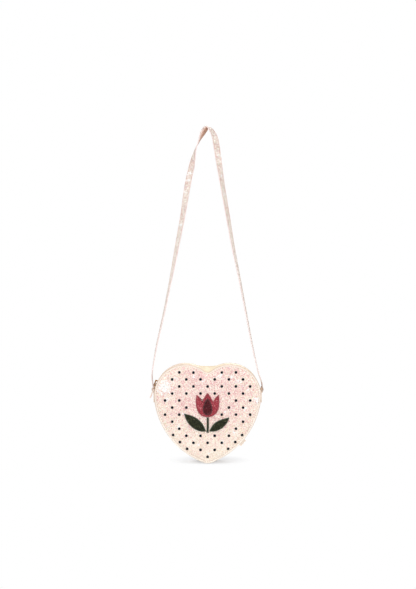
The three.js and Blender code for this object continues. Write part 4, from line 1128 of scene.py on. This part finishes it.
FRONT_TAPE = (ZIP_Y - TAPE_HALF, ZIP_Y - SLIT_HALF)
for name, body, start, end, limits in (
        ("zip_tape_front", "mouth_edge", -MOUTH_REACH, MOUTH_REACH, FRONT_TAPE),
        ("zip_tape_back", "bag", -ZIP_REACH, ZIP_REACH, (ZIP_Y + SLIT_HALF, ZIP_Y + TAPE_HALF)),
        ("zip_end_patch_left", "mouth_edge", -ZIP_REACH, -MOUTH_REACH - GAP, FRONT_TAPE),
        ("zip_end_patch_right", "mouth_edge", MOUTH_REACH + GAP, ZIP_REACH, FRONT_TAPE)):
    skin, uv = zip_strip(start, end, *limits)
    tape = on_body(piece(name + "_cloth", skin, tape_cloth, uv), body, "zip_tape", name)
    width, length = (TAPE_HALF - SLIT_HALF) * MM, (end - start) * MM

COIL_PITCH = 1.3
COIL_WIRE = 0.3
COIL_HALF = (1.55, 0.85)
COIL_LOCK = 0.12
COIL_MIDDLE = COIL_HALF[0] + COIL_WIRE - COIL_LOCK
COIL_REACH = zip_reach(STOP_ANGLE) - STOP_LENGTH
# Height of the point in the bag that the inner side of the coils looks to.
COIL_INWARD = LOBE_Z - 60


def zip_coil(reach, middle_y):
    """A coil of filament: a flattened helix round a line inside the tape, as a tube of five sides.

    Both coils keep step, so that the heads of one lie between the other's."""
    t = np.linspace(-reach, reach, int(2 * reach / COIL_PITCH) * 8)
    phase = 2 * np.pi * t / COIL_PITCH
    flat = zip_line(t, INNER_INSET + TAPE + GAP + COIL_HALF[1] * (1 + np.sin(phase)))
    path = upright(flat, middle_y + COIL_HALF[0] * np.cos(phase))
    along = unit(np.gradient(path, axis=0))
    side = unit(np.cross(along, upright((flat[0], flat[1] - COIL_INWARD), 0.0)))
    return loft(path[:, None] + COIL_WIRE * ring(5, side, np.cross(side, along)))


for name, body, reach, middle_y in (
        ("zip_coil_front", "mouth_edge", MOUTH_REACH, ZIP_Y - COIL_MIDDLE),
        ("zip_coil_back", "bag", COIL_REACH, ZIP_Y + COIL_MIDDLE)):
    on_body(piece(name + "_filament", zip_coil(reach, middle_y), nylon), body, "zip_nylon", name)

# Linings, slightly slack, with a UV map in millimetres for their weave.
LINING_SLACK = 0.35
LINING_SHARES = np.concatenate([np.linspace(1, 0.9, 5), np.linspace(0.8, 0.05, 14)])


def lining_panel(name, inset, y):
    """A heart of lining: rings from its edge to its middle, wavy, with a front and a back face."""
    faces = []
    for offset in (0, LINING):
        rings = []
        for share in LINING_SHARES:
            x, z = panel_ring(inset, share)
            wave = np.sin(x / 6.5 + z / 23) * np.sin(z / 9.5 + 0.7) * smooth_step((1 - share) / 0.2)
            rings.append(upright((x, z), y + offset + LINING_SLACK * wave))
        faces.append(rings)
    points, skin = loft(faces[0][::-1] + faces[1])
    return piece(name + "_cloth", (points, skin), lining_cloth, uv=points[:, [0, 2]])


front_lining = lining_panel("front_lining", INNER_INSET + 1.2, corners("front_lining_lower")[0, 1])
on_body(front_lining, "front_flap", "lining_cloth", "front_lining_upper", "front_lining_lower")
back_lining = lining_panel("back_lining", INNER_INSET, corners("back_lining")[0, 1])
on_body(back_lining, "bag", "lining_cloth", "back_lining")


def lining_band():
    """The gusset's lining: the outline drawn in, from lobe to lobe round the tip, with soft waves."""
    low, high = corners("gusset_lining")
    start = lobe_way(0)
    share, way = np.meshgrid(np.linspace(0, 1, 22), np.linspace(start, 2 * HALF_WAY - start, 260))
    wave = LINING_SLACK * (1 + np.sin(way / 7 + 4 * share)) * np.sin(np.pi * share)
    y = low[1] + (high[1] - low[1]) * share
    skin = shell(*(upright(heart(way, INNER_INSET + depth + wave), y) for depth in (0, LINING)))
    return piece("gusset_lining_cloth", skin, lining_cloth, map_of(way, y))


gusset_lining = on_body(lining_band(), "bag", "lining_cloth", "gusset_lining")

# Strap: the band's route from the left rivet over the top to the right rivet. Columns are the share of the
# rivets' reach, the share of the drop, the depth in millimetres, and where the glitter side faces.
STRAP_DROP = 408
STRAP_WIDTH = 10
STRAP = 1.4
RIVET_CAP = 2.8
RIVET_DOME = 0.9
RIVET_HEAD = 2.8
RIVET_POST = 1.6
STRAP_X = corners("strap_rivet_right")[1, 0] - RIVET_DOME - GAP - STRAP / 2
STRAP_ROUTE = np.array([
    [-1, 1, 0, -1, 0, 0], [-1, 0.986, 0, -1, 0, 0], [-1.012, 0.968, 0, -1, 0, 0],
    [-1.018, 0.945, 0, -1, 0, 0], [-0.978, 0.887, 0, -1, -0.08, 0], [-0.924, 0.826, 0, -1, -0.14, 0],
    [-0.793, 0.704, 0, -1, -0.24, 0], [-0.674, 0.582, 0, -1, -0.38, 0], [-0.563, 0.46, 0, -1, -0.8, 0],
    [-0.453, 0.338, 0, -1, -1.2, 0], [-0.36, 0.216, 0, -0.2, -1, 0], [-0.296, 0.155, 0, -0.4, -1, 0],
    [-0.23, 0.094, 1, -1, -0.3, 0], [-0.15, 0.049, 2, -1, 0.2, 0.1], [-0.07, 0.016, 2, -0.4, 0.9, 0.5],
    [0, 0, 0, 0, 0.1, 1], [0.06, 0.012, -2, 0.6, -0.6, 0.6], [0.124, 0.036, -2, 0.5, -1, 0.2],
    [0.158, 0.066, -1, 0.2, -1, 0], [0.2, 0.125, 0, 0.4, -1, 0], [0.266, 0.216, 0, 1, -1, 0],
    [0.367, 0.338, 0, 1, -0.75, 0], [0.468, 0.46, 0, 1, -0.5, 0], [0.587, 0.582, 0, 1, -0.28, 0],
    [0.698, 0.704, 0, 1, -0.2, 0], [0.81, 0.826, 0, 1, -0.15, 0], [0.873, 0.887, 0, 1, -0.08, 0],
    [0.925, 0.932, 0, 1, 0, 0], [0.964, 0.957, 0, 1, 0, 0], [0.99, 0.974, 0, 1, 0, 0],
    [1, 0.987, 0, 1, 0, 0], [1, 1, 0, 1, 0, 0]])


def spline(points, count):
    """Centripetal Catmull-Rom curve: between two points a cubic whose slopes use both neighbours."""
    p = np.concatenate([2 * points[:1] - points[1:2], points, 2 * points[-1:] - points[-2:-1]])
    t = np.linspace(0, len(points) - 1, count)
    i = np.minimum(t.astype(int), len(points) - 2)
    w = (t - i)[:, None]
    a, b, c, d = p[i], p[i + 1], p[i + 2], p[i + 3]
    knots = [np.linalg.norm(q, axis=1, keepdims=True) ** 0.5 for q in (b - a, c - b, d - c)]
    middle = np.where(knots[1] < 1e-4, 1, knots[1])
    before = np.where(knots[0] < 1e-4, middle, knots[0])
    after = np.where(knots[2] < 1e-4, middle, knots[2])
    leave = middle * ((b - a) / before - (c - a) / (before + middle) + (c - b) / middle)
    reach = middle * ((c - b) / middle - (d - b) / (middle + after) + (d - c) / after)
    return b + leave * w + (3 * (c - b) - 2 * leave - reach) * w ** 2 + (2 * (b - c) + leave + reach) * w ** 3


STRAP_STATIONS = 560
END_STATIONS = 10
route = STRAP_ROUTE[:, :3] * [STRAP_X, -STRAP_DROP, 1] + [0, STRAP / 2, 0]
strap_middle = spline(route[:, [0, 2, 1]], STRAP_STATIONS)
strap_facing = spline(unit(STRAP_ROUTE[:, 3:]), STRAP_STATIONS)
strap_along = unit(np.gradient(strap_middle, axis=0))
strap_half = np.full(STRAP_STATIONS, STRAP_WIDTH / 2)


def round_end(middle, along, facing):
    """Stations of a strap's round end below its rivet: the width follows a half circle."""
    share = np.sin(np.linspace(0.12, 1.5, END_STATIONS))
    centres = middle + np.array([0, 0, -STRAP_WIDTH / 2]) * share[:, None]
    half = np.sqrt(1 - share ** 2) * STRAP_WIDTH / 2
    return centres, np.tile(along, (END_STATIONS, 1)), np.tile(facing, (END_STATIONS, 1)), half


first_end = [part[::-1] for part in round_end(strap_middle[0], [0, 0, 1.0], [-1.0, 0, 0])]
last_end = round_end(strap_middle[-1], [0, 0, -1.0], [1.0, 0, 0])
strap_middle, strap_along, strap_facing, strap_half = (
    np.concatenate(parts)
    for parts in zip(first_end, (strap_middle, strap_along, strap_facing, strap_half), last_end))
strap_across = unit(np.cross(strap_facing, strap_along))
strap_out = unit(np.cross(strap_along, strap_across))
strap_way = way_along(strap_middle)
strap_length = strap_way[-1]
EDGE_ROUND, ROUND_FROM = 0.35, 0.86
STRAP_ACROSS = np.array([-1, -0.985, -0.95, -0.88, -0.6, -0.3, 0, 0.3, 0.6, 0.88, 0.95, 0.985, 1])
# At the right end the brown reverse is bared right across and the edge paint left off, partly as painted
# shade.
BARE_END, BARE_EASE = 16, 8
bare = 1 - smooth_step((strap_length - strap_way - BARE_END) / BARE_EASE)[:, None]


def strap_face(level, rounding, across=STRAP_ACROSS):
    """Grid of one face of the strap: across its width at a level, lower where the edges are rounded."""
    across, level = np.broadcast_arrays(across, level * np.ones((len(strap_middle), 1)))
    edge = smooth_step((np.abs(across) - ROUND_FROM) / (1 - ROUND_FROM)) ** 2
    offset = level - np.sign(level) * rounding * edge
    return (strap_middle[:, None] + strap_across[:, None] * (strap_half[:, None] * across)[..., None]
            + strap_out[:, None] * offset[..., None])


strap = piece(
    "strap_band", shell(strap_face(STRAP / 2, EDGE_ROUND), strap_face(-STRAP / 2, EDGE_ROUND)), strap_cloth)
on_body(strap, "strap", "glitter_cloth", "strap")

# Inside, the cloth's hems leave its brown reverse bare, off the middle, and at the right end right across,
# where the bared brown also stands as painted shade between the strap and the bag.
BACKING_FROM, BACKING_TO = -0.5, 0.88
BACKING_PROUD = 0.1
BARE_WIDTH = 1.05
backing_low = BACKING_FROM + (-BARE_WIDTH - BACKING_FROM) * bare
backing_high = BACKING_TO + (BARE_WIDTH - BACKING_TO) * bare
backing_share = np.linspace(0, 1, 8)
backing_across = backing_low + (backing_high - backing_low) * backing_share
strap_backing = piece(
    "strap_backing", shell(
        strap_face(-STRAP / 4 + STRAP / 3 * bare, 0, backing_across),
        strap_face(-STRAP / 2 - BACKING_PROUD, 0, backing_across)),
    brown_cloth, map_of(backing_share + bare, np.repeat(strap_way, len(backing_share))))

STRAP_FLAKES = [
    ("#dccabf", 5), ("#e6ddd2", 4), ("#e6c0b6", 3), ("#d8d8c4", 2.5), ("#dfc8ce", 2.5), ("#cdbbb2", 2),
    ("#f8f1ea", 1)]
STRAP_FLAKE = 0.62
STRAP_FLAKE_COUNT = 4200
STRAP_STREWN = 0.9
STRAP_PAINTED_LIGHT_WASH = 0.35
CLUMP_LENGTH = 3.5


def on_strap(where, sideways, height):
    """Places and normals on the strap's outer side, by the way along it and the share of its half width."""
    face = strap_middle + strap_out * (STRAP / 2 + height)
    outer, half, out = (
        between(where, strap_way, values) for values in (face, strap_across * strap_half[:, None], strap_out))
    return outer + half * sideways[:, None], unit(out)


rng = np.random.default_rng(31)
where = rng.uniform(0, strap_length, STRAP_FLAKE_COUNT)
sideways = rng.uniform(-STRAP_STREWN, STRAP_STREWN, STRAP_FLAKE_COUNT)
clump = 2 * (where / CLUMP_LENGTH).astype(int) + (sideways > 0)
places, normals = on_strap(where, sideways, 0)
# The cream wash of the strap's flakes grows lower down: painted light.
strap_glitter = glitter(
    "strap_glitter", places, normals, STRAP_FLAKE, STRAP_FLAKES, rng,
    wash=STRAP_PAINTED_LIGHT_WASH * fade(places[:, 2:], STRAP_PAINTED_LIGHT), clump=clump)

# Painted highlights of the strap, white flakes standing in for glints of light: side of the loop, height,
# flakes.
PAINTED_STRAP_GLINTS = [
    (-1, -72, 7), (-1, -84, 14), (-1, -101, 8), (-1, -152, 22), (1, -43, 8), (1, -78, 9), (1, -105, 8)]
STRAP_GLINT = 0.9
STRAP_GLINT_SPREAD = 1.3


def painted_strap_glints(seed):
    """Painted highlights: white flake clusters along the strap and, a little off its middle, across it."""
    rng = np.random.default_rng(seed)
    ways, shares = [], []
    for side, height, count in PAINTED_STRAP_GLINTS:
        arm = strap_middle[:, 0] * side > 0
        way = strap_way[arm][np.argmin(np.abs(strap_middle[arm, 2] - height))]
        ways.append(way + rng.normal(0, STRAP_GLINT_SPREAD, count))
        shares.append(np.clip(rng.normal(0.1, 0.4, count), -0.85, 0.85))
    places = on_strap(np.concatenate(ways), np.concatenate(shares), GLINT_LIFT)
    return glitter("strap_painted_glint_glitter", *places, STRAP_GLINT, PAINTED_GLINT_FLAKES, rng, lean=GLINT_LEAN)


strap_painted_glints = painted_strap_glints(32)
EDGE_PAINT = 0.4
EDGE_PROUD = 0.04
EDGE_LAP = 0.08
STITCH_SHARE = 0.78


def strap_edge(side):
    """Edge paint: a flattened tube along one edge of the strap, wrapping its thickness."""
    middle = strap_middle + strap_across * (side * (strap_half + EDGE_PROUD - EDGE_PAINT))[:, None]
    rings = middle[:, None] + ring(10, EDGE_PAINT * strap_across, (STRAP / 2 + EDGE_LAP) * strap_out)
    return loft(rings[bare[:, 0] < 0.5])


def strap_row(side):
    """Stitches along one edge of the strap's outer side, between its round ends."""
    path = strap_middle + strap_across * side * STITCH_SHARE * STRAP_WIDTH / 2 + strap_out * (STRAP / 2)
    straight = slice(END_STATIONS + 2, -END_STATIONS - 2)
    return run_along(path[straight], strap_out[straight])


strap_edges = piece("strap_edges", together(strap_edge(-1), strap_edge(1)), edge_paint)
strap_stitching = thread("strap_stitching", pink_thread, strap_row(-1), strap_row(1))
for made in (strap_backing, strap_glitter, strap_painted_glints, strap_edges, strap_stitching):
    on_body(made, "strap", "glitter_cloth")


def rounded_copy(node, material, width, body, slot, segments=3):
    """A copy of a solid with its corners merged and its sharp edges rounded by a bevel."""
    mesh = frame["nodes"][node].data.copy()
    mesh.name = node + "_rounded"
    form = bmesh.new()
    form.from_mesh(mesh)
    bmesh.ops.remove_doubles(form, verts=form.verts, dist=1e-6)
    bmesh.ops.dissolve_limit(form, angle_limit=math.radians(2), verts=form.verts, edges=form.edges)
    form.to_mesh(mesh)
    form.free()
    mesh.materials.clear()
    mesh.materials.append(material)
    made = bpy.data.objects.new(mesh.name, mesh)
    scene.collection.objects.link(made)
    bevel = made.modifiers.new("rounding", "BEVEL")
    bevel.width = width * MM
    bevel.segments = segments
    bevel.limit_method = "ANGLE"
    bevel.angle_limit = math.radians(30)
    on_body(made, body, slot, node)


RIVET_SEGMENTS = 40


def rivet(name, side):
    """A rivet turned round its axis: flat head, post, and a domed cap with a pressed ring."""
    low, high = corners(name)
    middle = (low + high) / 2
    head, crown = (low[0], high[0]) if side > 0 else (-high[0], -low[0])
    foot = crown - RIVET_DOME
    flat = [[0.07, 0], [0.93, 0], [1.0, 0.15], [1.0, 0.4]]
    dome = [[0.95, 0], [1.0, 0.1], [0.98, 0.28], [0.88, 0.42], [0.82, 0.4], [0.77, 0.48], [0.65, 0.7],
            [0.47, 0.88], [0.25, 0.98], [0.05, 1]]
    profile = [(RIVET_HEAD * r, head + h) for r, h in flat] + [(RIVET_POST, head + 0.45), (RIVET_POST, foot)]
    profile += [(RIVET_CAP * r, foot + RIVET_DOME * h) for r, h in dome]
    rings = [
        ring(RIVET_SEGMENTS, [0, radius, 0], [0, 0, radius]) + [side * reach, *middle[1:]]
        for radius, reach in profile]
    on_body(piece(name + "_turned", loft(rings), gold_metal, sharp=50), "bag", "gold_metal", name)


rounded_copy("zip_slider", gold_metal, 0.3, "zip_slider", "gold_metal", 2)
rounded_copy("zip_pull_ring", gold_metal, 0.35, "zip_pull", "gold_metal")
rounded_copy("zip_pull_tab", glitter_cloth, 0.5, "zip_pull", "glitter_cloth")
rounded_copy("side_tab", leatherette, 0.35, "bag", "cream_leatherette")
for side_name, side in (("left", -1), ("right", 1)):
    rounded_copy(f"zip_stop_{side_name}", gold_metal, 0.25, "bag", "gold_metal")
    rounded_copy(f"anchor_tab_{side_name}", leatherette, 0.3, "bag", "cream_leatherette")
    rivet(f"strap_rivet_{side_name}", side)

# The board in the back stays as it is packed, out of sight.
board = frame["nodes"]["back_board"]
board.data.materials.clear()
board.data.materials.append(fibre_board)


def seen(tree):
    """A node that is 1 for the camera's rays, also through gloss or glass, and 0 for light on the object."""
    path = add(tree, "ShaderNodeLightPath")
    largest = {"operation": "MAXIMUM"}
    straight = add(tree, "ShaderNodeMath", largest, _0=(path, "Is Camera Ray"), _1=(path, "Is Glossy Ray"))
    return add(tree, "ShaderNodeMath", largest, _0=straight, _1=(path, "Is Transmission Ray"))


# Floor just under the tip: white to the camera, and shaded by the bag near it. Its shade is in metres from a
# point beside the tip.
FLOOR_DROP = 1.0
FLOOR_THICK = 20
FLOOR_RADIUS = 4000
FLOOR_MIDDLE = 200
SHADE_OFFSET = (-0.003, -0.02, 0)
SHADE_FROM, SHADE_TO = 0.01, 0.065
SHADE_LEAST = 0.18
floor_rings = [
    ring(96, [r, 0, 0], [0, r, 0]) + [0, 0, TIP_Z - FLOOR_DROP - below] for r, below in (
        (FLOOR_MIDDLE, FLOOR_THICK), (FLOOR_RADIUS, FLOOR_THICK), (FLOOR_RADIUS, 0), (FLOOR_MIDDLE, 0))]
white_floor, tree, shader = finish("white_floor", {"Roughness": 0.9})
flat = add(
    tree, "ShaderNodeVectorMath", {"operation": "MULTIPLY_ADD", 1: (1, 1, 0), 2: SHADE_OFFSET},
    Vector="Object")
away = add(tree, "ShaderNodeVectorMath", {"operation": "LENGTH"}, Vector=flat)
shown = seen(tree)
# To the camera the floor is a little blue: a painted tint that takes the warm bounced light out of its
# shadow.
add(tree, "ShaderNodeMix", {"data_type": "RGBA", 6: linear("#ffffff"), 7: linear("#eff4fb")},
    (shader, "Base Color"), 2, Factor=shown)
clear = add(
    tree, "ShaderNodeMapRange", {"From Min": SHADE_FROM, "From Max": SHADE_TO, "To Min": SHADE_LEAST},
    Value=(away, "Value"))
share = add(tree, "ShaderNodeMath", {"operation": "MULTIPLY"}, _0=shown, _1=clear)
glow = add(tree, "ShaderNodeEmission", {"Color": (1, 1, 1, 1), "Strength": 1})
add(tree, "ShaderNodeMixShader", to=(tree.nodes["Material Output"], "Surface"), _0=share, _1=shader, _2=glow)
piece("floor", loft(floor_rings), white_floor)

# Studio light: a soft white surround and large lamps at the upper left, right, back and overhead.
SURROUND = 0.555
world = bpy.data.worlds.new("studio")
scene.world = world
world.use_nodes = True
tree = world.node_tree
surround = tree.nodes["Background"]
surround.inputs["Color"].default_value = (1, 1, 1, 1)
surround.inputs["Strength"].default_value = SURROUND
white = add(tree, "ShaderNodeBackground", {"Color": (1, 1, 1, 1), "Strength": 1})
add(tree, "ShaderNodeMixShader", to=(tree.nodes["World Output"], "Surface"),
    _0=seen(tree), _1=surround, _2=white)

LAMP_AIM = np.array([0, 0, -0.42])
for name, spot, width, power in (
        ("key_lamp", (-1.6, -2.5, 1.1), 1.0, 23.5), ("fill_lamp", (1.5, -1.5, 0.1), 1.0, 7.0),
        ("back_lamp", (0.3, 1.9, 0.7), 1.0, 12), ("top_lamp", (0, -0.9, 2.6), 0.9, 20.8)):
    lamp = bpy.data.lights.new(name, "AREA")
    lamp.shape = "DISK"
    lamp.size = width
    lamp.energy = power
    holder = bpy.data.objects.new(name, lamp)
    scene.collection.objects.link(holder)
    holder.location = spot
    aim = LAMP_AIM - np.array(spot)
    holder.rotation_euler = (math.atan2(math.hypot(aim[0], aim[1]), -aim[2]), 0, math.atan2(-aim[0], aim[1]))

scene.view_settings.view_transform = "Standard"
